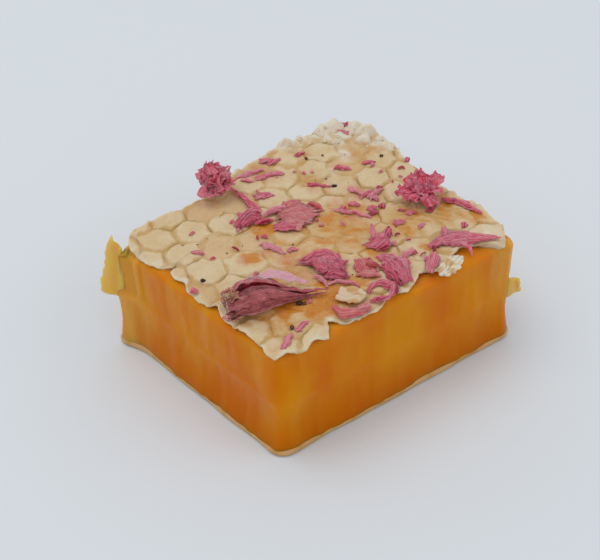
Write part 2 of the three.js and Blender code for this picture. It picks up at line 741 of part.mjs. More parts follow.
// The floret: rings along its route, folded lengthwise, with a cup sunk in the open end.
// Its section is wider than it is high.
function floretGeometry() {
  const route = new THREE.CatmullRomCurve3(
    FLORET_ROUTE.map(([x, y]) => new THREE.Vector3(x, y, 0)),
  );
  const ring = (t, share) => {
    const middle = route.getPoint(t);
    const run = route.getTangent(t);
    const size =
      lerp(FLORET_MOUTH, 1, smoothstep(t, 0, 0.25)) * lerp(1, FLORET_TAIL, smoothstep(t, 0.3, 0.85));
    const rest = capTop(middle.x, middle.y) + 0.45 + FLORET_HIGH * size;
    return Array.from({ length: FLORET_SIDES }, (_, i) => {
      const turn = (2 * Math.PI * i) / FLORET_SIDES;
      const fold = 1 + 0.13 * Math.sin(FLORET_FOLDS * turn + 3 * t) * (1 - t);
      const across = FLORET_WIDE * Math.cos(turn) * size * share * fold;
      const up = FLORET_HIGH * Math.sin(turn) * size * share * fold;
      return new THREE.Vector3(middle.x - run.y * across, middle.y + run.x * across, rest + up);
    });
  };
  const rings = [ring(0.14, 0.4), ring(0.02, 0.7), ring(0, 0.95)];
  for (let k = 1; k <= FLORET_STEPS; k++) rings.push(ring(k / FLORET_STEPS, 1));
  return loft(rings);
}

// A plate of wax: a wavy oval lying on the capping.
function plateGeometry({ at: [x, y], heading, length, width, lift }, k) {
  const turn = degToRad(heading);
  const [cos, sin] = [Math.cos(turn), Math.sin(turn)];
  return sheet(6, 4, PLATE_THICK, (u, v) => {
    const along = (u - 0.5) * length;
    const across = v * (width / 2) * Math.sqrt(Math.max(0.12, 1 - (2 * u - 1) ** 2));
    const px = x + along * cos - across * sin;
    const py = y + along * sin + across * cos;
    const wave = 0.2 * (1 + Math.sin(7 * u + 2 * v + k));
    return new THREE.Vector3(px, py, capTop(px, py) + PETAL_GAP + lift + wave);
  });
}

// ---------------------------------------------------------------- the model

const MATERIALS = {
  comb: { color: 0xb67526, roughness: 0.25 },
  wax: { color: 0xc3a77a, roughness: 0.55 },
  wax_pale: { color: 0xd8cba8, roughness: 0.6 },
  petal: { color: 0xb8567a, roughness: 0.8 },
  petal_salmon: { color: 0xc67a68, roughness: 0.75 },
  petal_mauve: { color: 0x8c5264, roughness: 0.85 },
};

const model = new THREE.Group();

function add(name, geometry, finish) {
  const material = new THREE.MeshStandardMaterial({ ...MATERIALS[finish], metalness: 0 });
  const mesh = new THREE.Mesh(geometry, material);
  mesh.name = name;
  model.add(mesh);
}

add("comb", geometryOfSolid(joined([combSolid(), ...FLAPS.map(flapSolid)])), "comb");
add("capping_top", geometryOfSolid(cappingSolid()), "wax");
add("capping_base", baseGeometry(), "wax");
add("petal_floret", floretGeometry(), "petal_mauve");
Object.entries(PETALS).forEach(([name, petal], k) =>
  add(name, petalGeometry(petal, k), /flat|coral|fan$/.test(name) ? "petal_salmon" : "petal"),
);
Object.entries(TUFTS).forEach(([name, tuft], k) =>
  add(name, geometryOfSolid(tuftSolid(tuft, k)), "petal"),
);
Object.entries(WAX_PLATES).forEach(([name, plate], k) =>
  add(name, plateGeometry(plate, k), "wax_pale"),
);

export default model;
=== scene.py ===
"""A piece of cut comb honey with dried rose petals on it, dressed for rendering.

The slab's plan, its layers and the lattice of its cells are worked out here from the same
sizes as its solids, in millimetres, and every mesh is written in metres.
"""

import math

import bpy
import numpy as np
from bpy.props import FloatProperty, FloatVectorProperty, PointerProperty
from mathutils import Matrix, Vector


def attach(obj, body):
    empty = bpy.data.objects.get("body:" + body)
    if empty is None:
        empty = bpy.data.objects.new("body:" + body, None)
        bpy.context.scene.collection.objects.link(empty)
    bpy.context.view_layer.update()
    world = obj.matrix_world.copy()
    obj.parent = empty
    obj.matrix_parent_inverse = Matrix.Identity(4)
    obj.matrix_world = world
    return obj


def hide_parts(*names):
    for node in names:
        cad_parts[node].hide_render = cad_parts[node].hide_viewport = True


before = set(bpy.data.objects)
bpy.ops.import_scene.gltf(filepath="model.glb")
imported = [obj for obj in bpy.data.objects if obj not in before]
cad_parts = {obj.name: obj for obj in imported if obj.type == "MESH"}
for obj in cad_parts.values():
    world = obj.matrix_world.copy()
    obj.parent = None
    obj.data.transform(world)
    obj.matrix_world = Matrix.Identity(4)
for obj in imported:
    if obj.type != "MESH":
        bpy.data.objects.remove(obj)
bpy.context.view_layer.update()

bl_info = {
    "name": "Cut comb honey",
    "version": (1, 0, 0),
    "blender": (4, 5, 0),
    "location": "3D View > Sidebar > Comb honey",
    "description": "Builds a slab of comb honey with its wax cappings and dried petals",
    "category": "Add Mesh",
}

MM = 0.001

# ---------------------------------------------------------------- the slab, in millimetres

CELL_PITCH = 5.6
CELL_TURN = math.radians(-18.3)
CELL_AT = (-18.55, 11.65)
WALL_HALF = 0.25
CELL_FLANK = 0.9

SLAB_CORNERS = [
    (-18.5, -20.5), (25.7, -20.3), (26.0, 16.5), (22.0, 21.3), (1.5, 19.4), (-19.0, 15.4),
    (-25.4, 15.3), (-23.0, 11.0),
]
CORNER_ROUND = 2.0
OPEN_CORNER = (-24.6, 14.0)
OPEN_REACH = 7.0
OPEN_DROP = 1.3
OPEN_DEPTH = 0.9  # the cut cells at the open corner are this much deeper
WELL_DEPTH = 2.6
THIN_CORNER = SLAB_CORNERS[1]  # the honey is thin over the walls at this corner
THIN_REACH = 8.0

BASE_TOP = 1.1
COMB_LOW = 1.0
COMB_HIGH = 18.5
MIDRIB = 9.8
RIB_HALF = 0.9
CAP_LOW = 18.8
CAP_THICK = 0.75
CAP_DOME = 0.35
CAP_FLANK = 0.9
FOOT_SPREAD = 0.7
FOOT_RISE = 6.0
SIDE_SAG = 0.25
SIDE_ROUGH = 0.12
SIDE_FINE = 0.05
RIB_RISE = 0.06

# The torn edge of the upper capping, counter-clockwise from the front corner.
CAP_EDGE = [
    (-18.7, -20.1), (-17.0, -20.3), (-14.3, -21.3), (-12.3, -20.4), (-10.2, -21.1), (-8.6, -18.5),
    (-6.1, -20.3), (-4.9, -20.1), (-1.6, -20.4), (0.5, -19.6), (2.6, -18.9), (4.4, -20.0),
    (6.7, -19.1), (8.2, -18.0), (9.3, -18.2), (10.8, -19.5), (13.1, -18.9), (15.4, -17.5),
    (17.6, -17.0), (20.8, -18.9), (22.6, -20.5), (23.7, -19.5), (24.7, -18.1), (25.7, -16.7),
    (25.4, -15.3), (25.6, -13.8), (25.9, -12.4), (26.4, -10.8), (25.4, -8.4), (25.2, -7.3),
    (25.2, -4.6), (25.3, -2.6), (25.0, -0.4), (24.8, 1.9), (25.2, 4.1), (25.1, 6.8), (26.2, 8.8),
    (26.2, 11.0), (26.0, 14.4), (24.9, 17.9), (23.6, 20.5), (20.4, 22.1), (17.8, 21.8),
    (14.9, 21.3), (12.9, 21.2), (11.6, 22.3), (9.7, 21.2), (8.2, 20.8), (6.5, 20.5), (4.7, 19.8),
    (3.5, 20.1), (2.1, 19.9), (1.0, 20.1), (-0.6, 19.1), (-3.0, 18.0), (-5.2, 17.5), (-7.7, 16.8),
    (-9.5, 16.6), (-11.4, 16.4), (-13.0, 16.7), (-15.0, 16.5), (-16.7, 16.7), (-18.3, 16.1),
    (-19.9, 15.7), (-21.7, 14.6), (-22.6, 13.2), (-22.8, 11.7), (-22.3, 9.1), (-22.3, 7.5),
    (-21.5, 6.1), (-20.1, 4.9), (-18.7, 4.8), (-19.5, 4.2), (-20.7, 3.8), (-21.0, 2.5),
    (-20.4, 0.6), (-20.7, -0.5), (-20.5, -2.0), (-20.6, -4.4), (-20.1, -6.0), (-19.2, -6.8),
    (-19.8, -8.3), (-20.0, -9.9), (-19.7, -11.8), (-19.1, -13.7), (-19.0, -15.3), (-18.7, -17.4),
    (-19.1, -19.1),
]
# The edge hangs down here: x, y, radius, drop.
DROOPS = [
    (-22.6, 10.0, 3.4, 0.55), (-21.6, 6.4, 2.2, 0.3), (-20.7, -1.5, 2.6, 0.25),
    (-19.0, -19.6, 2.4, 0.35), (-14.3, -21.2, 2.4, 0.35), (-10.3, -21.0, 1.8, 0.6),
    (-5.2, -20.4, 3.0, 0.45), (3.8, -19.8, 2.4, 0.3), (23.4, -19.6, 2.8, 0.5),
    (6.0, 20.6, 5.0, -0.3),
]

# ---------------------------------------------------------------- numbers and noise


def linear(code):
    """An sRGB hex colour as the three linear numbers that a socket holds."""
    parts = [int(code[k : k + 2], 16) / 255 for k in (1, 3, 5)]
    return tuple(c / 12.92 if c <= 0.04045 else ((c + 0.055) / 1.055) ** 2.4 for c in parts)


def smooth(x, low, high):
    """0 below LOW, 1 above HIGH, and 3t^2 - 2t^3 between them."""
    t = np.clip((x - low) / (high - low), 0, 1)
    return t * t * (3 - 2 * t)


def unit(vectors):
    """Each vector divided by its length."""
    return vectors / np.maximum(np.linalg.norm(vectors, axis=-1, keepdims=True), 1e-9)


def chance(i, j, k=0):
    """A repeatable number from 0 to 1 for whole numbers: the fraction of a large sine."""
    s = np.sin(i * 12.9898 + j * 78.233 + k * 37.719 + 4.1) * 43758.5453
    return s - np.floor(s)


def waves(x, y, length, seed):
    """The mean of three crossing sine waves about LENGTH long, from -1 to 1."""
    k = 2 * math.pi / length
    a = np.sin(k * (x + 0.31 * y) + seed)
    b = np.sin(k * (0.83 * y - 0.4 * x) + 1.7 * seed + 1.3)
    c = np.sin(k * 0.61 * (x - 1.1 * y) + 2.3 * seed + 2.9)
    return (a + b + c) / 3


def noise(x, y, z, size, seed=0):
    """Random values from -1 to 1 at the corners of cubes of SIZE, blended by 3t^2 - 2t^3."""
    at = [np.asarray(c, float) / size + 0.37 * seed for c in np.broadcast_arrays(x, y, z)]
    low = [np.floor(c) for c in at]
    t = [(c - f) * (c - f) * (3 - 2 * (c - f)) for c, f in zip(at, low)]
    total = 0.0
    for corner in range(8):
        step = [corner & 1, corner >> 1 & 1, corner >> 2]
        share = 1.0
        for s, w in zip(step, t):
            share = share * (w if s else 1 - w)
        value = chance(low[0] + step[0], low[1] + step[1], low[2] + step[2] + seed)
        total = total + share * value
    return 2 * total - 1


def rough(x, y, z, size, octaves, seed=0):
    """Noise summed over OCTAVES, each half as large and half as strong as the one before."""
    total = 0.0
    for k in range(octaves):
        total = total + noise(x, y, z, size / 2**k, seed + k) / 2**k
    return total


# ---------------------------------------------------------------- the lattice of cells


def cells(x, y, stagger=0):
    """The two numbers of the hexagonal cell over each point and the distance to its wall.

    A point is turned into axial coordinates, rounded to the nearest cell, and measured from
    that cell's middle along the three directions across the flats."""
    root3 = math.sqrt(3)
    cos, sin = math.cos(CELL_TURN), math.sin(CELL_TURN)
    u, v = x - CELL_AT[0], y - CELL_AT[1]
    a = (u * cos + v * sin) / CELL_PITCH - stagger / 2
    b = (v * cos - u * sin) / CELL_PITCH - stagger / (2 * root3)
    q, r = a - b / root3, 2 * b / root3
    i, j, k = np.round(q), np.round(r), np.round(-q - r)
    off_i, off_j, off_k = np.abs(i - q), np.abs(j - r), np.abs(k + q + r)
    fix_i = (off_i > off_j) & (off_i > off_k)
    fix_j = ~fix_i & (off_j > off_k)
    i, j = np.where(fix_i, -j - k, i), np.where(fix_j, -i - k, j)
    along = (a - i - j / 2) * CELL_PITCH
    across = (b - j * root3 / 2) * CELL_PITCH
    reach = np.maximum(np.abs(along), np.abs(along) / 2 + np.abs(across) * root3 / 2)
    return i, j, CELL_PITCH / 2 - reach


# ---------------------------------------------------------------- meshes as arrays


def grid_faces(rows, cols, closed):
    """Two triangles for each square of a grid, which turns onto itself across if CLOSED."""
    i, j = np.meshgrid(np.arange(rows - 1), np.arange(cols - (not closed)), indexing="ij")
    a, b = i * cols + j, i * cols + (j + 1) % cols
    c, d = b + cols, a + cols
    return np.concatenate([np.stack(t, -1).reshape(-1, 3) for t in ((a, b, c), (a, c, d))])


def tube(rings, **values):
    """A closed skin through rings of points (rings, points, 3), with a fan at either end."""
    rows, cols = rings.shape[:2]
    ends = rings[[0, -1]].mean(1)
    verts = np.concatenate([rings.reshape(-1, 3), ends])
    a = np.arange(cols)
    b = (a + 1) % cols
    first, last = np.full(cols, rows * cols), np.full(cols, rows * cols + 1)
    top = (rows - 1) * cols
    fans = [np.stack([first, b, a], -1), np.stack([last, top + a, top + b], -1)]
    tris = np.concatenate([grid_faces(rows, cols, True), *fans])
    spread = {}
    for name, value in values.items():
        grid = np.broadcast_to(value, (rows, cols))
        tips = [grid[0].mean(keepdims=True), grid[-1].mean(keepdims=True)]
        spread[name] = np.concatenate([grid.ravel(), *tips])
    return verts, tris, spread


def border_loop(rows, cols):
    """The numbers of a grid's border points, in order round it."""
    i, j = np.arange(rows), np.arange(cols)
    return np.concatenate([i * cols, (rows - 1) * cols + j[1:], i[-2::-1] * cols + cols - 1, j[-2:0:-1]])


def between(front, back, **values):
    """A closed skin of two grids of points and the rim that joins their borders."""
    rows, cols = front.shape[:2]
    count = rows * cols
    faces = grid_faces(rows, cols, False)
    a = border_loop(rows, cols)
    b = np.roll(a, -1)
    rim = [np.stack([a, a + count, b + count], -1), np.stack([a, b + count, b], -1)]
    verts = np.concatenate([front.reshape(-1, 3), back.reshape(-1, 3)])
    tris = np.concatenate([faces[:, ::-1], faces + count, *rim])
    spread = {k: np.tile(np.broadcast_to(v, (rows, cols)).ravel(), 2) for k, v in values.items()}
    return verts, tris, spread


def sheet(points, thickness, **values):
    """A thin closed skin on both sides of a grid of points, thinner towards its border."""
    along, across = np.gradient(points, axis=0), np.gradient(points, axis=1)
    normal = unit(np.cross(along, across))
    rows, cols = points.shape[:2]
    i = np.minimum(np.arange(rows), np.arange(rows)[::-1])[:, None]
    j = np.minimum(np.arange(cols), np.arange(cols)[::-1])[None, :]
    taper = np.clip(np.minimum(i, j) / 2, 0.25, 1)[..., None]
    offset = normal * thickness / 2 * taper
    return between(points + offset, points - offset, **values)


def join(skins):
    """Several skins in one, with the named numbers that they all have."""
    starts = np.cumsum([0] + [len(v) for v, _, _ in skins[:-1]])
    verts = np.concatenate([v for v, _, _ in skins])
    tris = np.concatenate([t + s for (_, t, _), s in zip(skins, starts)])
    names = set.intersection(*(set(values) for _, _, values in skins))
    return verts, tris, {n: np.concatenate([s[2][n] for s in skins]) for n in sorted(names)}


def make_piece(name, skin, material, slot, *nodes):
    """Writes a skin into a new object in metres, which rides on the root body."""
    verts, tris, values = skin
    mesh = bpy.data.meshes.new(name)
    mesh.vertices.add(len(verts))
    mesh.vertices.foreach_set("co", (verts * MM).astype(np.float32).ravel())
    mesh.loops.add(tris.size)
    mesh.loops.foreach_set("vertex_index", tris.astype(np.int32).ravel())
    mesh.polygons.add(len(tris))
    mesh.polygons.foreach_set("loop_start", np.arange(0, tris.size, 3, dtype=np.int32))
    mesh.update(calc_edges=True)
    mesh.polygons.foreach_set("use_smooth", np.ones(len(tris), bool))
    for key, value in values.items():
        data = mesh.attributes.new(key, "FLOAT", "POINT").data
        data.foreach_set("value", value.astype(np.float32))
    mesh.materials.append(material)
    obj = bpy.data.objects.new(name, mesh)
    bpy.context.scene.collection.objects.link(obj)
    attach(obj, "root")
    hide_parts(*nodes)


# ---------------------------------------------------------------- plan outlines


def spaced(line, count):
    """COUNT points at even distances along an open line of points, both ends included."""
    steps = np.linalg.norm(np.diff(line, axis=0), axis=1)
    run = np.concatenate([[0], np.cumsum(steps)])
    at = np.linspace(0, run[-1], count)
    return np.stack([np.interp(at, run, column) for column in line.T], -1)


def outline(corners, count):
    """COUNT even points of a rounded polygon and their outward normals.

    Each corner is a parabola from CORNER_ROUND before it to CORNER_ROUND after it."""
    at = np.array(corners, float)
    back = at + CORNER_ROUND * unit(np.roll(at, 1, 0) - at)
    on = at + CORNER_ROUND * unit(np.roll(at, -1, 0) - at)
    t = np.linspace(0, 1, 9)[:, None]
    bends = [(1 - t) ** 2 * b + 2 * t * (1 - t) * c + t**2 * o for b, c, o in zip(back, at, on)]
    points = spaced(np.concatenate([*bends, bends[0][:1]]), count + 1)[:-1]
    run = unit(np.roll(points, -1, 0) - np.roll(points, 1, 0))
    return points, np.stack([run[:, 1], -run[:, 0]], -1)


# ---------------------------------------------------------------- comb


def openness(x, y):
    """1 at the open corner, 0 past its reach."""
    away = np.hypot(x - OPEN_CORNER[0], y - OPEN_CORNER[1])
    return 1 - smooth(away, 0, OPEN_REACH)


SIDE_POINTS = 820
SIDE_LEVELS = 90
TOP_RINGS = 26
COMB_RISE = 0.45  # the cut sides run on up into the capping by this much
EDGE_ROUND = 1.1


def comb_skin(flute):
    """The slab's cut sides, its foot and its top as one tube about the middle.

    The sides are the outline moved in by FLUTE where honey lies between two cell walls and
    out over the midrib and at the foot. At the open corner the top drops, and its cells are
    wells between their walls."""
    plan, normal = outline(SLAB_CORNERS, SIDE_POINTS)
    x, y = plan[:, 0], plan[:, 1]
    level = np.linspace(0, 1, SIDE_LEVELS)[:, None]
    z = COMB_LOW + (COMB_HIGH + COMB_RISE - COMB_LOW) * level
    upper, lower = cells(x, y)[2], cells(x, y, 1)[2]
    flank_up = smooth(upper, WALL_HALF, WALL_HALF + CELL_FLANK)
    flank_low = smooth(lower, WALL_HALF, WALL_HALF + CELL_FLANK)
    layer = smooth(z, MIDRIB - RIB_HALF, MIDRIB + RIB_HALF)
    rib = np.exp(-(((z - MIDRIB) / RIB_HALF) ** 2))
    hollow = flank_low + (flank_up - flank_low) * layer
    is_open = openness(x, y)
    depth = flute + OPEN_DEPTH * is_open * layer
    foot = FOOT_SPREAD * (1 - smooth(z, 0, FOOT_RISE))
    sag = SIDE_SAG * waves(x + y, z * 1.4, 19, 2)
    soft = SIDE_ROUGH * rough(x, y, z * 0.55, 4.0, 3, 5) + SIDE_FINE * rough(x, y, z * 0.12, 1.7, 2, 6)
    out = foot + sag + RIB_RISE * rib - depth * hollow * (1 - rib) + soft
    rounded = np.clip((z - COMB_HIGH - COMB_RISE) / EDGE_ROUND + 1, 0, 1)
    out = out - EDGE_ROUND * (1 - np.sqrt(1 - rounded**2))
    drop = OPEN_DROP * is_open * smooth(level, 0.8, 1)
    side = np.stack([x + normal[:, 0] * out, y + normal[:, 1] * out, z - drop], -1)

    rim = side[-1]
    centre = rim.mean(0)
    share = 1 - np.linspace(0, 1, TOP_RINGS + 1)[1:-1, None, None] ** 1.6
    top = centre + (rim - centre) * share
    inward = np.linalg.norm((rim - top)[..., :2], axis=-1)
    tx, ty = top[..., 0], top[..., 1]
    open_top = openness(tx, ty)
    to_wall = cells(tx, ty)[2]
    well = smooth(to_wall, 0.18, 0.7) * smooth(inward, 0.3, 1.1) * smooth(open_top, 0.12, 0.4)
    top[..., 2] = COMB_HIGH + COMB_RISE - OPEN_DROP * open_top - WELL_DEPTH * well
    bottom = side[0] + (side[0].mean(0) - side[0]) * np.linspace(0.98, 0, 6)[:, None, None]
    rings = np.concatenate([bottom, side, top])
    wall = np.concatenate([
        np.zeros(bottom.shape[:2]),
        np.maximum(1 - smooth(hollow, 0.0, 0.75), 0.8 * rib),
        1 - well,
    ])
    x, y, z = np.moveaxis(rings, -1, 0)
    thin = 1 - smooth(np.hypot(x - THIN_CORNER[0], y - THIN_CORNER[1]), 0, THIN_REACH)
    thin = 0.8 * thin * smooth(z, 6, 16)
    return tube(rings, wall=wall, high=z, open=np.maximum(openness(x, y), thin))


# Torn cell walls that stand off the corners: root low, root high, free low, free high.
FIN = [(-23.9, 14.0, 8.6), (-23.6, 14.0, 18.6), (-26.9, 16.9, 10.4), (-24.0, 15.8, 20.6)]
TAG = [(24.6, -18.9, 7.4), (24.8, -18.9, 11.6), (27.2, -20.4, 8.2), (26.8, -20.6, 11.0)]
FLAP_GRID = (60, 36)


def flap_skin(corners, thickness, crinkle, seed):
    """A torn wall: the patch between its four points, bent to and fro and crinkled."""
    low_in, high_in, low_out, high_out = (np.array(p) for p in corners)
    u = np.linspace(0, 1, FLAP_GRID[0])[:, None, None]
    v = np.linspace(0, 1, FLAP_GRID[1])[None, :, None]
    low = low_in + (low_out - low_in) * v
    points = low + (high_in + (high_out - high_in) * v - low) * u
    run = low_out - low_in
    out = unit(np.array([run[1], -run[0], 0.0]))
    x, y, z = np.moveaxis(points, -1, 0)
    bend = 0.3 * np.sin(2 * math.pi * v[..., 0]) + 0.2 * np.sin(3 * u[..., 0])
    bend = bend + crinkle * rough(x, y, z * 0.5, 2.2, 3, seed)
    points = points + out * bend[..., None]
    edge = v[..., 0] * (0.35 * rough(x, y, z, 1.6, 3, seed + 4))
    points = points + unit(run)[None, None, :] * edge[..., None]
    return sheet(points, thickness)


# ---------------------------------------------------------------- upper capping

CELL_WARP = 0.45  # the cells' walls wander by this much
CELL_FINE_WARP = 0.25
CAP_SLUMP = 0.12
SUNK_SHARE = 0.16
SUNK_DEPTH = 0.25
CRACK_HALF = 0.12
CRACK_DEPTH = 0.12

# Honey lies on the wax here: x, y, radius.
SOAKED_SPOTS = [
    (-7.0, -14.5, 4.6), (-4.4, -14.3, 4.8), (-11.4, -13.2, 3.4), (-4.2, 4.0, 2.6),
    (-9.8, -0.9, 1.9),
]
# Honey has soaked the wax in streaks here: x, y, radius.
WET_SPOTS = [
    (-4.4, 4.3, 3.4), (-9.2, -1.2, 2.8), (-4.6, -9.8, 2.8), (6.1, -11.2, 2.8), (5.5, 0.0, 4.0),
    (0.6, 0.4, 2.8), (9.8, 0.0, 3.4), (12.0, -4.4, 3.8), (16.0, -6.4, 4.0), (19.4, -7.2, 4.0),
    (22.5, -6.6, 3.0), (12.7, -9.0, 3.0), (3.4, -6.2, 3.8), (1.4, -2.8, 3.0), (12.9, -14.2, 2.4),
    (1.0, -15.0, 3.2), (-18.5, -13.2, 2.0), (-14.4, -13.9, 4.2), (-9.0, -14.8, 5.0),
    (7.5, -4.0, 4.0), (-8.0, -18.2, 3.0), (3.0, -3.6, 9.5), (-4.6, -3.4, 5.5), (-18.8, -19.3, 2.6),
    (23.4, -12.8, 2.6), (-7.8, -6.9, 3.0),
]
# The caps are crushed here: x, y, radius.
MUSHY_SPOTS = [
    (6.5, -2.5, 6.5), (14.5, -7.5, 5.5), (20.5, -9.5, 4.0), (-7.5, -16.5, 4.0),
    (-14.5, -17.5, 3.2), (9.0, 10.0, 3.0), (4.0, 17.6, 3.4), (12.0, 18.0, 3.4), (22.0, 14.0, 6.0),
    (-6.0, -6.5, 3.2),
]
# Petal juice has tinted the wax here: x, y, radius.
STAINS = [
    (8.6, 1.7, 3.4), (9.3, -1.7, 3.0), (-6.7, -0.9, 2.2), (-6.4, -5.1, 3.6), (-6.0, -8.4, 3.2),
    (-4.8, -4.0, 2.8), (23.0, -3.4, 2.4), (9.6, -13.8, 2.6), (-10.6, -0.7, 1.6), (9.4, 8.2, 2.4),
    (2.0, 17.2, 3.0), (2.5, 3.2, 4.0), (4.8, 15.0, 2.6), (20.0, 17.4, 2.0), (12.4, 4.2, 3.0),
    (3.0, -12.8, 3.2),
]
# Dry and white: x, y, radius.
DRY_SPOTS = [
    (21.5, 18.5, 6.5), (25.0, 12.0, 3.4), (22.8, -18.0, 3.4), (3.8, -17.9, 2.4), (13.4, 10.4, 2.2),
    (12.0, 21.0, 3.4), (-22.7, 11.0, 1.8), (-21.9, 6.4, 1.7), (-11.0, -20.2, 1.8),
    (-8.4, -18.7, 2.6), (-4.6, -20.4, 2.4), (20.4, -15.4, 1.4), (-19.6, -13.6, 1.4),
    (-20.6, -3.0, 1.4), (18.0, 13.4, 3.0),
]
# Crumbled wax on the far corner: x, y, radius.
WAX_CRUMBS = [
    (19.0, 20.3, 1.5), (21.4, 20.2, 1.9), (23.6, 18.4, 1.8), (21.0, 17.4, 1.4), (24.6, 15.6, 1.5),
    (16.4, 19.9, 1.1), (24.9, 12.6, 1.2), (25.2, 9.6, 1.0), (22.6, 14.4, 1.1), (18.2, 17.9, 1.0),
    (11.7, 21.0, 1.1), (14.4, 20.5, 0.9),
]


def wall_top(x, y):
    """The top of the wax over a cell's wall."""
    return CAP_LOW + CAP_THICK + 0.18 * waves(x, y, 17, 1)


def spots(x, y, places):
    """The strongest of several ragged spots, 1 in the middle and 0 at the radius."""
    found = np.zeros_like(x)
    wobble = 0.34 * rough(x, y, 0, 1.7, 3, len(places))
    for px, py, radius in places:
        away = np.hypot(x - px, y - py) / radius + wobble
        found = np.maximum(found, 1 - smooth(away, 0.15, 1))
    return found


def crumb_rise(x, y):
    """The height of the heaped crumbs: the root of the summed squares of soft domes, made lumpy."""
    found = np.zeros_like(x)
    near = x + 0.7 * rough(x, y, 0, 1.7, 2, 41), y + 0.7 * rough(x, y, 0, 1.7, 2, 42)
    for k, (px, py, radius) in enumerate(WAX_CRUMBS):
        share = np.hypot(near[0] - px, near[1] - py) / (1.35 * radius)
        found = found + ((0.65 + 0.4 * chance(k, 8)) * radius * (1 - smooth(share, 0.0, 1))) ** 2
    found = np.sqrt(found)
    lumps = 0.34 * rough(x, y, 0, 1.9, 5, 43)
    return found + lumps * smooth(found, 0.0, 0.7)


def cap_shape(x, y):
    """The height of the wax, and what its finish needs to know, at each point.

    Each cell of the lattice, whose walls wander, is a cap that rises from its walls or sinks
    below them, with a crack over some walls and crinkled wax all over. Where the cappings
    were pressed into the honey the caps are lost in crumpled, soaked wax."""
    bent = [
        c + CELL_WARP * noise(x, y, 0, 4.5, seed) + CELL_FINE_WARP * noise(x, y, 0, 1.4, seed + 6)
        for c, seed in ((x, 21), (y, 22))
    ]
    i, j, to_wall = cells(*bent)
    own = chance(i, j)
    along, across = 0.8 * x - 0.6 * y, 0.6 * x + 0.8 * y
    mushy = np.clip(spots(x, y, MUSHY_SPOTS) + 0.25 * noise(x, y, 0, 2.2, 29), 0, 1)
    rise = np.where(own < SUNK_SHARE, -SUNK_DEPTH, 0.7 * CAP_DOME * (0.5 + 0.7 * own))
    flank = CAP_FLANK * (0.45 + 0.6 * chance(i, j, 5))
    plateau = smooth(to_wall + 0.3 * noise(x, y, 0, 0.9, 30), 0.05, flank) * (1 - 0.8 * mushy)
    worn = smooth(noise(x, y, 0, 2.0, 23), -0.15, 0.35)
    crack = np.exp(-((to_wall / CRACK_HALF) ** 2)) * worn * (1 - mushy)
    streaks = smooth(rough(along * 0.6, across, 0, 1.4, 3, 31), -0.5, 0.6)
    wet = np.clip(1.3 * spots(x, y, WET_SPOTS), 0, 1) * (0.3 + 0.6 * streaks)
    wet = np.maximum(wet, np.clip(1.8 * spots(x, y, SOAKED_SPOTS), 0, 1) * (0.85 + 0.15 * streaks))
    wet = np.where(own < SUNK_SHARE, np.maximum(wet, 0.3 * plateau), wet)
    crumbs = crumb_rise(x, y)
    level = wall_top(x, y)
    ridges = 1 - 2 * np.abs(noise(x, y, 0, 1.5, 26))
    creases = 1 - 3 * np.abs(rough(x, y, 0, 2.2, 2, 35))
    fine = 0.07 * rough(x, y, 0, 1.0, 4, 25) + 0.04 * ridges + 0.06 * np.maximum(creases, 0)
    wrinkles = 1 - 2 * np.abs(rough(along * 0.35, across, 0, 0.9, 2, 31))
    fine = fine + mushy * (0.14 * ridges + 0.22 * wrinkles + 0.14 * rough(x, y, 0, 1.6, 3, 32))
    slump = CAP_SLUMP * rough(x, y, 0, 7.0, 2, 37)
    z = level + rise * plateau - CRACK_DEPTH * crack + fine * (1 - 0.3 * wet) + slump
    z = z + (level + 0.10 - z) * 0.4 * wet * (1 - mushy) + crumbs
    blotch = smooth(rough(x, y, 0, 1.3, 3, 38), -0.15, 0.6)
    heaped = smooth(crumbs, 0.1, 0.5)
    values = {
        "crack": crack,
        "cap": plateau,
        "wet": np.maximum(wet, mushy * (0.5 - 0.45 * wrinkles)) * (1 - heaped),
        "pale": np.maximum(spots(x, y, DRY_SPOTS) * (0.35 + 0.65 * blotch), smooth(crumbs, 0.05, 0.5)),
        "stain": np.clip(spots(x, y, STAINS) * (0.5 + 0.8 * blotch), 0, 1) * (1 - 0.7 * heaped),
        "tone": chance(i, j, 9),
    }
    return z, values


CAP_CUTS = [(-18.7, -20.1), (24.7, -18.1), (23.6, 20.5), (-21.7, 14.6)]
CAP_COUNTS = (304, 248)
CAP_RAGGED = 0.2
CAP_OUTLINE = 2400
RIM_REACH = 1.8
RIM_ROUGH = 0.24
# The rings under the capping's border: how far in from it, and how far below it.
UNDER_RINGS = [(0.0, 0.2), (0.3, 0.28), (1.2, 0.8), (3.0, 0.8)]


def droop(x, y):
    """How far the edge hangs at each point."""
    found = np.zeros_like(x)
    for px, py, radius, drop in DROOPS:
        found = found + drop * (1 - smooth(np.hypot(x - px, y - py), 0.2 * radius, radius))
    return found


def torn_outline():
    """The capping's border: CAP_EDGE, frayed by noise along the normal to it."""
    at = np.array(CAP_EDGE)
    plan = spaced(np.concatenate([at, at[:1]]), CAP_OUTLINE + 1)[:-1]
    run = unit(np.roll(plan, -6, 0) - np.roll(plan, 6, 0))
    x, y = plan.T
    out = CAP_RAGGED * rough(x, y, 0, 1.3, 4, 31)
    return plan + np.stack([run[:, 1], -run[:, 0]], -1) * out[:, None]


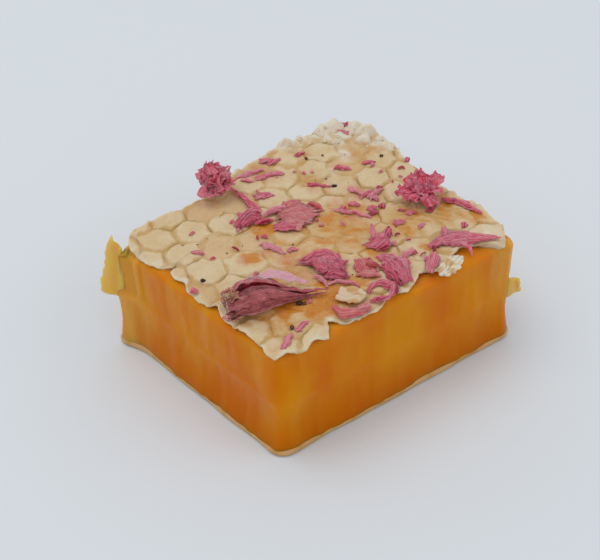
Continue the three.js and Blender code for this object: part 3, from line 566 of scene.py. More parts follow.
def patch(border, corners, counts):
    """A grid over a closed border cut into four sides at the points nearest to CORNERS.

    It is a Coons patch: the sum of the two blends of facing sides, less the corners' own."""
    cuts = [int(np.argmin(np.hypot(*(border - c).T))) for c in np.array(corners)]
    sides = []
    for k, cut in enumerate(cuts):
        stop = cuts[(k + 1) % 4]
        index = np.arange(cut, stop + 1 if stop > cut else stop + 1 + len(border)) % len(border)
        sides.append(spaced(border[index], counts[k % 2]))
    front, right, back, left = sides
    back, left = back[::-1], left[::-1]
    u = np.linspace(0, 1, counts[0])[:, None, None]
    v = np.linspace(0, 1, counts[1])[None, :, None]
    ruled = (1 - v) * front[:, None] + v * back[:, None] + (1 - u) * left[None] + u * right[None]
    ends = (1 - v) * ((1 - u) * front[0] + u * front[-1]) + v * ((1 - u) * back[0] + u * back[-1])
    return ruled - ends


def lidded(top, rings, **values):
    """A closed skin of a fine grid of points and a coarse underside of rings inside its border."""
    rows, cols = top.shape[:2]
    loop = border_loop(rows, cols)
    count, start = len(loop), rows * cols
    a = np.arange(count)
    b = np.roll(a, -1)
    tris = [grid_faces(rows, cols, False)[:, ::-1]]
    for k in range(len(rings)):
        low, low_next = start + k * count + a, start + k * count + b
        up, up_next = (loop[a], loop[b]) if k == 0 else (low - count, low_next - count)
        tris += [np.stack([up, low, low_next], -1), np.stack([up, low_next, up_next], -1)]
    last = start + (len(rings) - 1) * count
    tris.append(np.stack([last + a, np.full(count, start + len(rings) * count), last + b], -1))
    verts = np.concatenate([top.reshape(-1, 3), *rings, rings[-1].mean(0, keepdims=True)])
    spread = {}
    for key, value in values.items():
        flat = np.broadcast_to(value, (rows, cols)).ravel()
        spread[key] = np.concatenate([flat, *[flat[loop]] * len(rings), flat[loop].mean(keepdims=True)])
    return verts, np.concatenate(tris), spread


def capping_skin():
    """The sheet of wax over the cells, thin and rolled down at its torn border."""
    grid = patch(torn_outline(), CAP_CUTS, CAP_COUNTS)
    x, y = grid[..., 0], grid[..., 1]
    z, values = cap_shape(x, y)
    size = [np.linalg.norm(np.diff(side, axis=0), axis=1).sum() for side in (grid[:, 0], grid[0])]
    u = np.linspace(0, 1, CAP_COUNTS[0])[:, None] * size[0]
    v = np.linspace(0, 1, CAP_COUNTS[1])[None, :] * size[1]
    rim = np.minimum(np.minimum(u, size[0] - u), np.minimum(v, size[1] - v))
    near = 1 - smooth(rim, 0.0, RIM_REACH)
    z = z - droop(x, y) * near - 0.10 * (1 - np.clip(rim / 0.4, 0, 1)) ** 2
    z = z + RIM_ROUGH * near * rough(x, y, 0, 1.6, 4, 33)
    frayed = 1 - smooth(rim, 0.05, 0.6 + 1.6 * noise(x, y, 0, 2.0, 34) ** 2)
    values["pale"] = np.maximum(values["pale"], frayed * (0.45 + 0.6 * noise(x, y, 0, 1.3, 36)))
    values["wet"] = values["wet"] * smooth(rim, 0.2, 1.4)
    edge = np.stack([x, y, z], -1).reshape(-1, 3)[border_loop(*CAP_COUNTS)]
    middle = edge.mean(0)
    rings = []
    for inset, drop in UNDER_RINGS:
        away = middle - edge
        ring = edge + away * (inset / np.linalg.norm(away[:, :2], axis=1))[:, None]
        ring[:, 2] = edge[:, 2] - drop
        rings.append(ring)
    rings[-1][:, 2] = np.minimum(rings[-1][:, 2], CAP_LOW)
    return lidded(np.stack([x, y, z], -1), rings, **values)


FINE_CRUMBS = 34
CRUMB_BOUNDS = ((8, -12), (25.2, 20.2))


def lumps(places, flat, knobbly, rows, seed):
    """Balls about PLACES (x, y, z, radius) with their skin pushed in and out by noise."""
    t = np.linspace(0, math.pi, rows + 1)[1:-1, None]
    f = np.linspace(0, 2 * math.pi, 2 * rows, endpoint=False)[None, :]
    ball = np.stack([np.sin(t) * np.cos(f), np.sin(t) * np.sin(f), -np.cos(t) + 0 * f], -1)
    skins = []
    for k, (x, y, z, radius) in enumerate(places):
        push = 1 + knobbly * rough(*np.moveaxis(ball, -1, 0), 0.9, 3, seed + 7 * k)
        points = ball * push[..., None] * radius * np.array([1, 1, flat])
        skins.append(tube(points + (x, y, z), own=chance(k, seed)))
    return join(skins)


def wax_level(x, y):
    """The height of the wax at one or many points."""
    return cap_shape(np.asarray(x, float), np.asarray(y, float))[0]


def crumbs_skin():
    """Fine crumbs of wax scattered about the heaped ones."""
    large = np.array(WAX_CRUMBS)
    draw = np.random.default_rng(7)
    about = large[draw.integers(0, len(large), FINE_CRUMBS), :2]
    spread = about + draw.normal(0, 1.5, (FINE_CRUMBS, 2))
    spread = np.clip(spread, *CRUMB_BOUNDS)
    radius = 0.14 + 0.26 * draw.random(FINE_CRUMBS) ** 2
    fine = np.column_stack([spread, wax_level(*spread.T) + 0.1 * radius, radius])
    return lumps(fine, flat=0.45, knobbly=0.5, rows=10, seed=50)


# ---------------------------------------------------------------- lower capping

BASE_POINTS = 420
BASE_RINGS = 44
BASE_GROOVE = 0.28
# The rounded rim: its share of the plate's height, and how far it stands out.
BASE_RIM = [(1.0, -0.9), (1.0, 0.05), (0.82, 0.27), (0.5, 0.34), (0.2, 0.22), (0.03, 0.0)]


def base_skin():
    """The lower capping: a thin plate with a rounded rim, its cells' caps flat on the table."""
    plan, normal = outline(SLAB_CORNERS, BASE_POINTS)
    x, y = plan[:, 0], plan[:, 1]
    rings = []
    for share, push in BASE_RIM:
        out = FOOT_SPREAD * 0.6 + push + 0.15 * waves(x, y, 9, 4)
        level = np.full(BASE_POINTS, BASE_TOP * share)
        rings.append(np.column_stack([plan + normal * out[:, None], level]))
    inner = rings[-1]
    centre = inner.mean(0)
    for share in np.linspace(1, 0, BASE_RINGS + 1)[1:-1]:
        ring = centre + (inner - centre) * share
        to_wall = cells(ring[:, 0], ring[:, 1], 1)[2]
        ring[:, 2] = BASE_GROOVE * (1 - smooth(to_wall, 0.05, 0.9))
        rings.append(ring)
    rings = np.array(rings[::-1])
    to_wall = cells(rings[..., 0], rings[..., 1], 1)[2]
    return tube(rings, cap=smooth(to_wall, 0.05, 0.9), wet=0.6)


# ---------------------------------------------------------------- petals

PETAL_THICK = 0.12
PETAL_CREASE = 0.07
PETAL_CLEAR = 0.08  # the middle of a petal's skin stays at least this far off the wax
PETAL_REST = 0.1  # height 0 of a petal's route lies this far over the caps


def curve(route, u):
    """Points at the shares U of a Catmull-Rom curve through ROUTE, its ends carried on."""
    p = np.array(route, float)
    p = np.vstack([2 * p[0] - p[1], p, 2 * p[-1] - p[-2]])
    at = np.clip(u, 0, 1) * (len(route) - 1)
    k = np.minimum(at.astype(int), len(route) - 2)
    t = (at - k)[..., None]
    a, b, c, d = (p[k + n] for n in range(4))
    bent = (2 * a - 5 * b + 4 * c - d) * t**2 + (3 * b - a - 3 * c + d) * t**3
    return (2 * b + (c - a) * t + bent) / 2


def integral(slope):
    """The running sum of SLOPE across a grid, 0 on its middle line."""
    total = np.cumsum((slope[:, 1:] + slope[:, :-1]) / 2, axis=1)
    total = np.concatenate([np.zeros((len(slope), 1)), total], axis=1)
    return total - total[:, [total.shape[1] // 2]]


def petal(route, width, root, tip, pleats, crimp, cup, crumple, seed, tone,
          widest=0.5, bank=0.0, torn=0.4, settle=0.7, steps=60, rows=34):
    """A dried petal as a thin skin, with ROUTE [x, y, height over the wax] as its middle line.

    ROOT and TIP are the shares of its WIDTH that it has there, and WIDEST is where it has it
    all. Across the petal the surface is a curve whose slope is the sum of a cup, a tilt and two
    sines of PLEATS folds, so that its width is measured along the folds. Its border is torn,
    all of it is shaken by noise and creased lengthwise, and a share SETTLE of its height over
    the wax is lost towards its border."""
    u, v = np.linspace(0, 1, steps + 1), np.linspace(-1, 1, rows + 1)[None, :]
    line = curve(route, u)
    run = unit(np.gradient(line, axis=0))
    side = unit(np.cross([0.0, 0.0, 1.0], run))
    up = np.cross(run, side)
    u = u[:, None]
    length = np.linalg.norm(np.diff(line, axis=0), axis=1).sum()
    grow = root + (1 - root) * smooth(u, 0, widest)
    close = 1 - (1 - tip) * smooth(u, widest, 1)
    bank_side = 5 * np.sign(v)
    ragged = 1 + 0.25 * noise(u * length, bank_side, 0, 1.3, seed + 60)
    ragged = ragged + torn * 0.6 * noise(u * length, bank_side, 0, 0.5, seed + 63)
    half = width / 2 * grow * close * ragged
    drift = 1.6 * noise(u * length, v * 1.5, 3, 2.4, seed + 61)
    phase = math.pi * pleats * v + drift + seed
    folds = 0.7 * np.sin(phase) + 0.4 * np.sin(2.3 * phase + 4 * u)
    slope = bank + cup * v + crimp * smooth(u, -0.2, 0.35) * folds
    across = integral(np.cos(slope) * half * 2 / rows)
    rise = integral(np.sin(slope) * half * 2 / rows)
    bite = torn * width * smooth(u, 0.6, 1)
    back = 0.18 * width * v**2 * smooth(u, 0.4, 1)
    back = back + 0.35 * bite * noise(v * width, 0, 0, 0.7, seed + 64)
    bite = torn * width * (1 - smooth(u, 0, 0.3))
    back = back - 0.25 * bite * noise(v * width, 9, 0, 0.7, seed + 66)
    points = line[:, None] + side[:, None] * across[..., None] + up[:, None] * rise[..., None]
    points = points - run[:, None] * back[..., None]
    x, y, z = np.moveaxis(points, -1, 0)
    shake = [crumple * rough(x, y, z, 1.1, 3, seed + 62 + n) for n in range(3)]
    points = points + np.stack(shake, -1)
    x, y = points[..., 0], points[..., 1]
    crease = PETAL_CREASE * rough(u * length * 0.35, across, 0, 0.5, 2, seed + 65)
    level = wax_level(x, y) + PETAL_CLEAR
    lift = points[..., 2] + wall_top(x, y) + CAP_DOME + PETAL_REST - level
    rim_across = smooth(np.abs(v), 0.3, 1)
    rim_along = 0.8 * smooth(np.abs(2 * u - 1), 0.5, 1)
    uneven = 0.75 + 0.5 * noise(x, y, 0, 1.2, seed + 67)
    lift = lift * (1 - 0.45 * settle)
    lift = lift * (1 - np.clip(1.2 * settle * np.maximum(rim_across, rim_along) * uneven, 0, 0.97))
    points[..., 2] = level + np.maximum(lift + crease, 0.02)
    # Painted shade and highlight from the relief: the pleats' hollows mostly take the darker tones, and their
    # ridges and creases the lighter ones.
    fold = 0.5 - 0.6 * np.cos(phase) - 0.3 * shake[2] / max(crumple, 0.05) + 3 * crease
    return sheet(
        points,
        PETAL_THICK,
        along=u * length,
        across=across,
        fold=np.clip(fold, 0, 1),
        edge=np.maximum(smooth(np.abs(v), 0.84, 1), smooth(u, 0.92, 1)),
        tone=tone,
    )


TUFT_FILL = dict(torn=0.35, steps=30, rows=24)


def tuft_fill(at, spread, height, count, seed):
    """Small curled petals crowded round a tuft's middle, drawn at random, as rows for PETALS."""
    draw = np.random.default_rng(seed)
    rows = []
    for k in range(count):
        turn = 2 * math.pi * (k + draw.random()) / count
        out = np.array([math.cos(turn), math.sin(turn)])
        low, high = 0.25 * spread * draw.random(), spread * draw.uniform(0.45, 0.8)
        start, end = np.array(at) + out * low, np.array(at) + out * high
        top = height * draw.uniform(0.3, 1.0)
        route = [(*start, 0.35 * top), (*(0.6 * start + 0.4 * end), 0.9 * top), (*end, top)]
        width, tone = draw.uniform(1.8, 3.0), draw.uniform(0.2, 1.1)
        rows.append((route, width, 0.6, 0.95, 2, 0.5, 0.9, 0.45, seed + k, tone, TUFT_FILL))
    return rows


# The petals of each node: their kind, what they share, and a row for each with its route, width,
# root, tip, pleats, crimp, cup, crumple, seed and tone, and what else it has of its own.
PETALS = {
    "petal_fan": ("salmon", {}, [
        ([(-1.2, 4.9, 0.5), (0.8, 4.4, 0.9), (3.0, 3.7, 0.8), (5.2, 2.9, 0.3)],
         7, 0.4, 0.65, 4.5, 0.6, 0.1, 0.38, 1, 0.5, dict(widest=0.55, torn=0.6)),
        ([(0.4, 5.7, 0.9), (2.2, 6.0, 1.2), (4.2, 5.9, 0.7)],
         2.8, 0.4, 0.5, 3, 0.6, 0.3, 0.3, 41, 0.25, dict(torn=0.6)),
        ([(-1.2, 3.4, 0.5), (0.6, 2.0, 0.9), (2.4, 0.9, 0.4)],
         2.6, 0.5, 0.5, 3, 0.5, 0.3, 0.25, 42, 0.7, dict(torn=0.6)),
        ([(4.7, 5.2, 0.9), (5.5, 3.9, 1.0), (5.7, 2.5, 0.5)], 1.1, 0.5, 0.5, 2, 0.4, 0.3, 0.2, 68, 0.1, {}),
    ]),
    "petal_fan_low": ("magenta", {}, [
        ([(-2.7, 3.2, 0.3), (-1.3, 2.2, 0.7), (0.3, 0.6, 0.4)],
         2.6, 0.5, 0.5, 3, 0.5, 0.3, 0.25, 4, 0.35, dict(widest=0.55)),
        ([(-2.6, 6.4, 0.9), (-0.6, 6.4, 1.4), (1.9, 5.4, 1.2)],
         1.4, 0.5, 0.6, 2, 0.4, 0.3, 0.2, 69, 1.2, {}),
    ]),
    "petal_knot": ("magenta", {}, [
        ([(-7.3, 6.5, 0.3), (-5.5, 6.9, 1.0), (-3.9, 7.0, 1.3), (-2.6, 6.9, 0.7)],
         3.4, 0.45, 0.4, 4, 0.68, 0.4, 0.35, 5, 0.25, dict(widest=0.45)),
        ([(-6.4, 7.6, 0.9), (-4.6, 7.5, 1.8), (-2.6, 7.2, 1.5)],
         2.4, 0.4, 0.4, 3, 0.68, 0.5, 0.35, 6, 0.55, {}),
        ([(-4.8, 5.6, 0.5), (-3.4, 5.2, 0.9), (-1.8, 4.9, 0.5)],
         1.4, 0.4, 0.3, 2, 0.62, 0.5, 0.25, 43, 0.1, {}),
        ([(-7.6, 6.4, 0.1), (-7.0, 6.5, 0.5), (-6.2, 6.7, 0.7)],
         1.2, 0.5, 0.6, 2, 0.62, 0.3, 0.2, 44, -0.4, {}),
    ]),
    "petal_strand": ("magenta", {}, [
        ([(-2.6, 15.6, 0.3), (-2.5, 13.3, 0.8), (-2.4, 10.6, 0.8), (-2.2, 7.9, 0.9)],
         1.3, 0.25, 0.7, 2, 0.56, 0.5, 0.2, 7, 0.35, dict(widest=0.8, steps=70, rows=16)),
    ]),
    "petal_long": ("magenta", {}, [
        ([(13.2, -14.3, 0.5), (15.7, -14.9, 1.0), (18.1, -16.3, 1.1), (20.3, -17.8, 0.9), (22.8, -19.3, 0.5)],
         3.2, 0.3, 0.3, 3, 0.56, 0.3, 0.2, 8, 0.6, dict(widest=0.35, bank=0.1, torn=0.5)),
        ([(15.9, -14.9, 0.9), (16.8, -13.6, 1.4), (17.6, -12.4, 1.1)],
         1.5, 0.6, 0.5, 2, 0.56, 0.3, 0.2, 9, 0.65, {}),
        ([(13.8, -13.6, 0.4), (15.9, -13.9, 0.9), (18.4, -15.2, 0.9), (20.4, -16.4, 0.4)],
         1.5, 0.3, 0.3, 2, 0.56, 0.3, 0.2, 45, 0.8, dict(torn=0.5)),
        ([(16.9, -16.4, 0.9), (17.2, -18.2, 0.8), (16.6, -19.9, 0.2)],
         0.7, 0.6, 0.3, 1, 0.5, 0.3, 0.2, 46, 0.7, dict(steps=30, rows=12)),
    ]),
    "petal_sprig": ("magenta", {}, [
        ([(5.6, -8.5, 0.3), (7.2, -9.1, 1.2), (8.9, -8.6, 1.4), (10.6, -8.1, 0.7)],
         3.2, 0.4, 0.35, 4, 0.68, 0.3, 0.35, 10, 0.45, dict(widest=0.4)),
        ([(7.4, -8.4, 0.9), (7.9, -7.4, 2.0), (8.4, -6.6, 3.2)],
         1.3, 0.5, 0.3, 2, 0.56, 0.7, 0.2, 11, 1.1, {}),
        ([(8.8, -9.0, 0.6), (10.0, -8.4, 1.4), (11.0, -7.6, 1.6)],
         1.6, 0.5, 0.4, 2, 0.68, 0.4, 0.3, 12, 0.2, {}),
        ([(6.4, -10.2, 0.5), (7.6, -10.9, 1.0), (8.8, -10.8, 0.6)],
         1.3, 0.4, 0.4, 2, 0.62, 0.3, 0.3, 47, 0.0, {}),
    ]),
    "petal_bundle": ("magenta", {}, [
        ([(-4.1, -5.8, 0.3), (-2.4, -7.8, 1.2), (-1.6, -10.2, 1.5), (-2.2, -12.9, 0.7)],
         5.2, 0.25, 0.5, 5, 0.62, 0.2, 0.4, 13, 0.4, dict(widest=0.6, torn=0.5)),
        ([(-4.0, -5.9, 0.7), (-2.2, -6.6, 1.7), (-0.4, -7.6, 1.6), (0.6, -8.6, 0.7)],
         2.2, 0.12, 0.5, 2.5, 0.56, 0.3, 0.3, 14, 0.35, {}),
        ([(-3.2, -8.4, 1.3), (-1.6, -9.0, 2.2), (0.2, -10.3, 1.4)],
         2.8, 0.5, 0.5, 3, 0.68, 0.5, 0.4, 15, 0.7, {}),
        ([(-3.6, -10.6, 0.8), (-2.0, -11.6, 1.1), (-0.6, -13.2, 0.6)],
         2.4, 0.5, 0.5, 3, 0.56, 0.3, 0.35, 48, 0.2, {}),
        ([(-4.4, -12.2, 0.2), (-2.6, -13.1, 0.5), (-1.2, -14.4, 0.4), (-0.8, -15.4, 0.2)],
         0.7, 0.6, 0.4, 1, 0.5, 0.3, 0.2, 49, 0.9, dict(steps=40, rows=12)),
        ([(-4.6, -9.6, 0.3), (-4.3, -11.2, 0.6), (-4.4, -13.0, 0.2)],
         1.1, 0.5, 0.4, 2, 0.43, 0.3, 0.2, 50, 1.2, {}),
    ]),
    "petal_flat": ("salmon", {}, [
        ([(3.4, -11.0, 0.3), (2.5, -12.9, 0.5), (1.5, -14.7, 0.3)],
         3.5, 0.75, 0.7, 2.5, 0.19, 0.1, 0.12, 16, 0.15, dict(widest=0.4)),
        ([(0.6, -12.9, 0.4), (1.8, -14.3, 0.8), (3.2, -15.5, 0.4)],
         1.4, 0.5, 0.5, 3, 0.5, 0.3, 0.2, 51, 0.55, {}),
        ([(2.2, -12.4, 0.9), (3.3, -13.2, 1.3), (4.2, -14.2, 1.0)],
         0.8, 0.5, 0.5, 2, 0.62, 0.3, 0.25, 52, -0.3, dict(steps=30, rows=14)),
    ]),
    "petal_pleated": ("magenta", {}, [
        ([(5.9, -11.5, 0.3), (6.2, -13.8, 1.1), (6.0, -16.4, 1.1), (5.2, -19.0, 0.5)],
         3.8, 0.35, 0.6, 6, 0.62, 0.2, 0.3, 17, 0.5, dict(widest=0.6, torn=0.5)),
        ([(6.3, -12.6, 0.9), (6.9, -14.8, 1.8), (6.6, -17.4, 1.5)],
         1.9, 0.4, 0.5, 3, 0.62, 0.3, 0.3, 18, 0.75, {}),
        ([(4.5, -14.0, 0.6), (4.4, -16.4, 0.9), (4.6, -18.8, 0.4)],
         1.5, 0.4, 0.5, 3, 0.62, 0.3, 0.3, 53, 0.15, {}),
    ]),
    "petal_looped": ("magenta", {}, [
        ([(-0.5, -16.9, 0.4), (1.6, -16.7, 0.9), (2.8, -18.3, 0.9), (1.6, -19.8, 0.7), (-0.6, -19.8, 0.4)],
         1.5, 0.6, 0.5, 3, 0.56, 0.4, 0.28, 19, 0.5, dict(bank=0.3)),
        ([(-1.3, -18.9, 0.3), (-0.1, -19.3, 0.8), (1.0, -20.0, 0.6)],
         1.5, 0.5, 0.5, 2.5, 0.62, 0.3, 0.3, 54, 0.35, {}),
        ([(3.0, -17.2, 0.4), (3.4, -18.6, 0.9), (2.4, -20.0, 0.8)],
         0.8, 0.5, 0.5, 2, 0.62, 0.3, 0.25, 55, -0.4, dict(steps=40, rows=14)),
    ]),
    "petal_coral": ("salmon", {}, [
        ([(-6.6, -16.9, 0.3), (-5.9, -18.6, 0.6), (-4.2, -19.6, 0.6), (-2.4, -19.5, 0.3)],
         2.4, 0.45, 0.6, 3, 0.37, 0.2, 0.2, 20, 0.3, {}),
        ([(-4.6, -19.3, 0.6), (-3.0, -19.6, 1.0), (-1.6, -19.3, 0.6)],
         1.2, 0.5, 0.5, 2, 0.5, 0.3, 0.25, 56, 0.6, {}),
    ]),
    "petal_slip": ("magenta", {}, [
        ([(13.1, -15.8, 0.3), (11.9, -16.8, 0.9), (10.6, -17.9, 0.8), (9.0, -19.0, 0.3)],
         2.2, 0.35, 0.5, 3, 0.5, 0.3, 0.2, 21, 0.7, dict(widest=0.6)),
        ([(13.4, -14.9, 0.9), (13.0, -15.5, 1.0), (12.4, -16.3, 0.8)],
         0.7, 0.7, 0.5, 1.5, 0.56, 0.3, 0.2, 57, -0.6, dict(steps=24, rows=12)),
    ]),
    "petal_edge_strand": ("magenta", {}, [
        ([(22.9, -6.6, 0.3), (23.8, -8.6, 0.8), (24.3, -10.8, 0.7), (24.6, -13.0, 0.3)],
         1.4, 0.5, 0.4, 2, 0.56, 0.4, 0.28, 22, 0.5, {}),
        ([(22.4, -6.0, 0.3), (23.2, -7.8, 0.6), (24.3, -8.8, 0.5)],
         1, 0.5, 0.4, 2, 0.56, 0.3, 0.25, 58, 0.1, {}),
    ]),
    "petal_tuft_back": ("magenta", dict(settle=0), [
        ([(-5.4, 15.2, 0.6), (-5.4, 16.2, 2.8), (-5.0, 17.2, 5.4)],
         3.8, 0.5, 0.9, 5, 0.55, 0.3, 0.6, 23, 0.7, {}),
        ([(-5.4, 15.2, 0.6), (-6.8, 16.6, 2.4), (-7.8, 17.8, 3.8)],
         3.4, 0.5, 0.9, 4, 0.55, 0.4, 0.6, 24, 0.85, {}),
        ([(-5.4, 15.2, 0.6), (-3.8, 16.0, 2.4), (-2.2, 16.6, 3.4)],
         3.4, 0.5, 0.9, 4, 0.55, 0.4, 0.6, 25, 0.65, {}),
        ([(-5.4, 15.2, 0.6), (-3.9, 15.1, 1.5), (-2.2, 14.9, 1.6)],
         2.8, 0.5, 0.9, 3, 0.55, 0.4, 0.45, 26, 0.8, {}),
        ([(-5.4, 15.2, 0.6), (-7.1, 15.0, 1.4), (-8.7, 14.8, 1.2)],
         3, 0.5, 0.9, 3, 0.55, 0.4, 0.45, 59, 0.9, {}),
        ([(-6.4, 14.6, 0.8), (-6.0, 14.9, 2.4), (-5.6, 15.4, 3.9)],
         2.6, 0.5, 0.9, 3, 0.55, 0.4, 0.5, 60, 0.5, {}),
        ([(-4.4, 14.8, 0.8), (-3.8, 15.2, 2.2), (-3.4, 15.8, 3.4)],
         2.4, 0.5, 0.9, 3, 0.55, 0.4, 0.5, 61, 1.05, {}),
        *tuft_fill((-5.2, 15.5), 2.6, 3.2, 12, 300),
    ]),
    "petal_tuft_right": ("vivid", dict(settle=0), [
        ([(19.7, -4.5, 0.6), (21.8, -4.4, 1.8), (24.0, -3.8, 2.6)],
         3, 0.5, 0.9, 3.5, 0.55, 0.4, 0.45, 27, 0.9, {}),
        ([(19.7, -4.5, 0.6), (20.6, -3.2, 2.2), (21.4, -2.2, 3.6)],
         3.6, 0.5, 0.9, 4, 0.55, 0.4, 0.55, 28, 0.75, {}),
        ([(19.7, -4.5, 0.6), (17.8, -4.0, 1.5), (15.9, -3.5, 1.3)],
         3.8, 0.5, 0.9, 4, 0.55, 0.4, 0.5, 29, 0.55, {}),
        ([(19.7, -4.5, 0.6), (19.6, -6.0, 1.4), (19.3, -7.6, 1.0)],
         3.2, 0.5, 0.9, 4, 0.55, 0.4, 0.5, 30, 0.65, {}),
        ([(18.6, -3.4, 0.9), (19.0, -2.6, 2.2), (19.3, -2.0, 3.4)],
         2.6, 0.5, 0.9, 3, 0.55, 0.4, 0.5, 62, 0.95, {}),
        ([(20.6, -5.0, 0.9), (21.2, -5.8, 1.8), (21.8, -6.8, 1.7)],
         2.4, 0.5, 0.9, 3, 0.55, 0.4, 0.45, 63, 0.85, {}),
        ([(18.9, -4.8, 1.6), (18.9, -5.8, 2.0), (18.9, -6.9, 1.3)],
         0.9, 0.6, 0.5, 1, 0.5, 0.3, 0.2, 64, 1.65, dict(steps=30, rows=14)),
        *tuft_fill((19.6, -4.6), 2.6, 1.9, 11, 320),
    ]),
}

# ---------------------------------------------------------------- floret

FLORET_ROUTE = [
    (-19.2, -9.2, 0), (-16.6, -9.9, 0), (-13.9, -10.5, 0), (-11.0, -11.8, 0), (-8.1, -13.0, 0),
    (-5.4, -13.7, 0),
]
FLORET_WIDE = 2.75
FLORET_HIGH = 1.7
FLORET_MOUTH = 0.72
FLORET_TAIL = 0.14
FLORET_LENGTH = 14.6
FRILLS = 28
ANTHERS = 34
ROLL_THICK = 0.16
ROLL_GRID = (90, 60)
LOOSE_GAP = 0.25  # the floret and the loose plates lie this far over the caps


def floret_axis(u):
    """The middle line, its run, its side and the size of the section at the shares U."""
    line = curve(FLORET_ROUTE, u)
    run = unit(np.gradient(line, axis=0))
    size = FLORET_MOUTH + (1 - FLORET_MOUTH) * smooth(u, 0, 0.25)
    size = size * (1 + (FLORET_TAIL - 1) * smooth(u, 0.3, 0.85))
    line[:, 2] = wall_top(line[:, 0], line[:, 1]) + CAP_DOME + LOOSE_GAP + FLORET_HIGH * size
    return line, run, unit(np.cross([0.0, 0.0, 1.0], run)), size


def roll(start, stop, share, first, last, folds, ragged, tone, seed):
    """A petal wrapped round the floret's axis from angle START to STOP, in degrees.

    Its section follows the axis's size and is pleated lengthwise by two sines of the angle.
    The mouth's border is ragged, and the far end narrows to a strip."""
    u = np.linspace(first, last, ROLL_GRID[0])
    line, run, side, size = floret_axis(u)
    u = u[:, None]
    turn = np.radians(np.linspace(start, stop, ROLL_GRID[1]))[None, :]
    middle = math.radians((start + stop) / 2)
    turn = middle + (turn - middle) * (1 - 0.85 * smooth(u, last - 0.35, last))
    pleat = 0.08 * np.sin(folds * turn + 3 * u + seed) + 0.04 * np.sin(3.1 * folds * turn + 5 * u)
    pleat = pleat + 0.13 * rough(np.cos(turn) * 2, np.sin(turn) * 2, u * 10, 1.0, 3, seed + 80)
    out = size[:, None] * share * (1 + pleat) * (1 + 0.2 * (1 - smooth(u, first, first + 0.12)))
    across = FLORET_WIDE * np.cos(turn) * out
    mouth = ragged * rough(turn * 4, 0, 0, 1.1, 3, seed + 81) * (1 - smooth(u, first, first + 0.3))
    points = line[:, None] + side[:, None] * across[..., None] + run[:, None] * mouth[..., None]
    points[..., 2] += FLORET_HIGH * np.sin(turn) * out
    points[..., 2] = np.maximum(points[..., 2], wax_level(points[..., 0], points[..., 1]) + 0.1)
    return sheet(
        points,
        ROLL_THICK,
        along=u * FLORET_LENGTH,
        across=turn * 2.0,
        # Painted shade and highlight: the pleats' inward hollows darker, their outward ridges lighter.
        fold=np.clip(0.5 + 3 * pleat, 0, 1),
        edge=1 - smooth(u, first, first + 0.05),
        tone=tone + 0.7 * smooth(np.cos(turn - math.radians(250)), 0.55, 1),
    )


# Petals wrapped round the floret: the angles where each starts and stops in degrees, its share of
# the section, the shares of the length where it starts and ends, folds, raggedness, tone, seed.
ROLLS = [
    (108, 285, 1.0, 0.0, 1.0, 4, 0.9, 0.1, 3),
    (-80, 66, 1.02, 0.02, 0.92, 4, 0.9, 0.3, 4),
    (70, 255, 0.72, 0.03, 0.85, 4, 1.0, -0.15, 5),
    (-70, 130, 0.55, 0.05, 0.75, 5, 0.8, -0.2, 7),
]
# Petals that lie on the floret, with the columns of PETALS.
FLORET_PETALS = [
    ([(-13.6, -8.1, 2.4), (-11.2, -9.0, 2.8), (-9.0, -10.0, 1.9), (-6.8, -11.4, 0.9)],
     2.8, 0.5, 0.25, 2, 0.6, 0.3, 0.15, 65, 1.2),
    ([(-12.4, -11.0, 2.0), (-10.2, -12.0, 1.6), (-8.0, -12.9, 1.0), (-5.0, -13.8, 0.5)],
     1.1, 0.6, 0.3, 2, 0.9, 0.3, 0.15, 66, 0.1),
    ([(-16.4, -7.9, 2.2), (-14.6, -7.9, 2.9), (-12.8, -8.7, 2.6), (-11.4, -9.7, 2.2)],
     1.3, 0.5, 0.4, 2, 0.9, 0.3, 0.15, 67, 0.8),
]


def floret_skin():
    """The folded floret: a front and a back petal, open on top over darker ones, and a tail."""
    own = dict(torn=0.3, rows=20, settle=0)
    return join([*(roll(*row) for row in ROLLS), *(petal(*row, **own) for row in FLORET_PETALS)])


def floret_frills_skin():
    """Curled, browned ends of the petals round the floret's mouth."""
    draw = np.random.default_rng(29)
    skins = []
    for k in range(FRILLS):
        turn = 2 * math.pi * (k + 0.7 * draw.random()) / FRILLS
        share = 0.35 + 0.62 * draw.random()
        line, run, side, size = floret_axis(np.array([0.10, 0.0]) + 0.05 * draw.random())
        out = size[:, None] * share * np.array([1.0, 1.15])[:, None]
        ends = line + side * FLORET_WIDE * math.cos(turn) * out
        ends[:, 2] += (FLORET_HIGH * math.sin(turn) * out)[:, 0]
        ends[:, 2] -= wall_top(ends[:, 0], ends[:, 1]) + CAP_DOME + PETAL_REST
        inner, rim = ends
        outer = rim - run[1] * (0.3 + 1.0 * draw.random()) + (0, 0, draw.normal(0, 0.4))
        skins.append(petal([inner, rim, outer], 1.6 + 1.3 * draw.random(), root=0.6, tip=0.9, pleats=3,
                           crimp=0.8, cup=0.6, crumple=0.3, torn=0.5, settle=0, seed=170 + k,
                           tone=0.1 + 0.9 * draw.random(), steps=26, rows=20))
    return join(skins)


def floret_heart_skin():
    """Small dried anthers crowded in the floret's mouth."""
    draw = np.random.default_rng(11)
    turn = draw.random(ANTHERS) * 2 * math.pi
    out = 0.8 * draw.random(ANTHERS) ** 0.5
    line, _, side, size = floret_axis(np.sort(0.03 + 0.10 * draw.random(ANTHERS)))
    places = line + side * (FLORET_WIDE * np.cos(turn) * out * size)[:, None]
    places[:, 2] += FLORET_HIGH * np.sin(turn) * out * size
    radius = 0.15 + 0.2 * draw.random(ANTHERS)
    return lumps(np.column_stack([places, radius]), flat=0.9, knobbly=0.6, rows=8, seed=90)


# ---------------------------------------------------------------- scraps, specks and plates

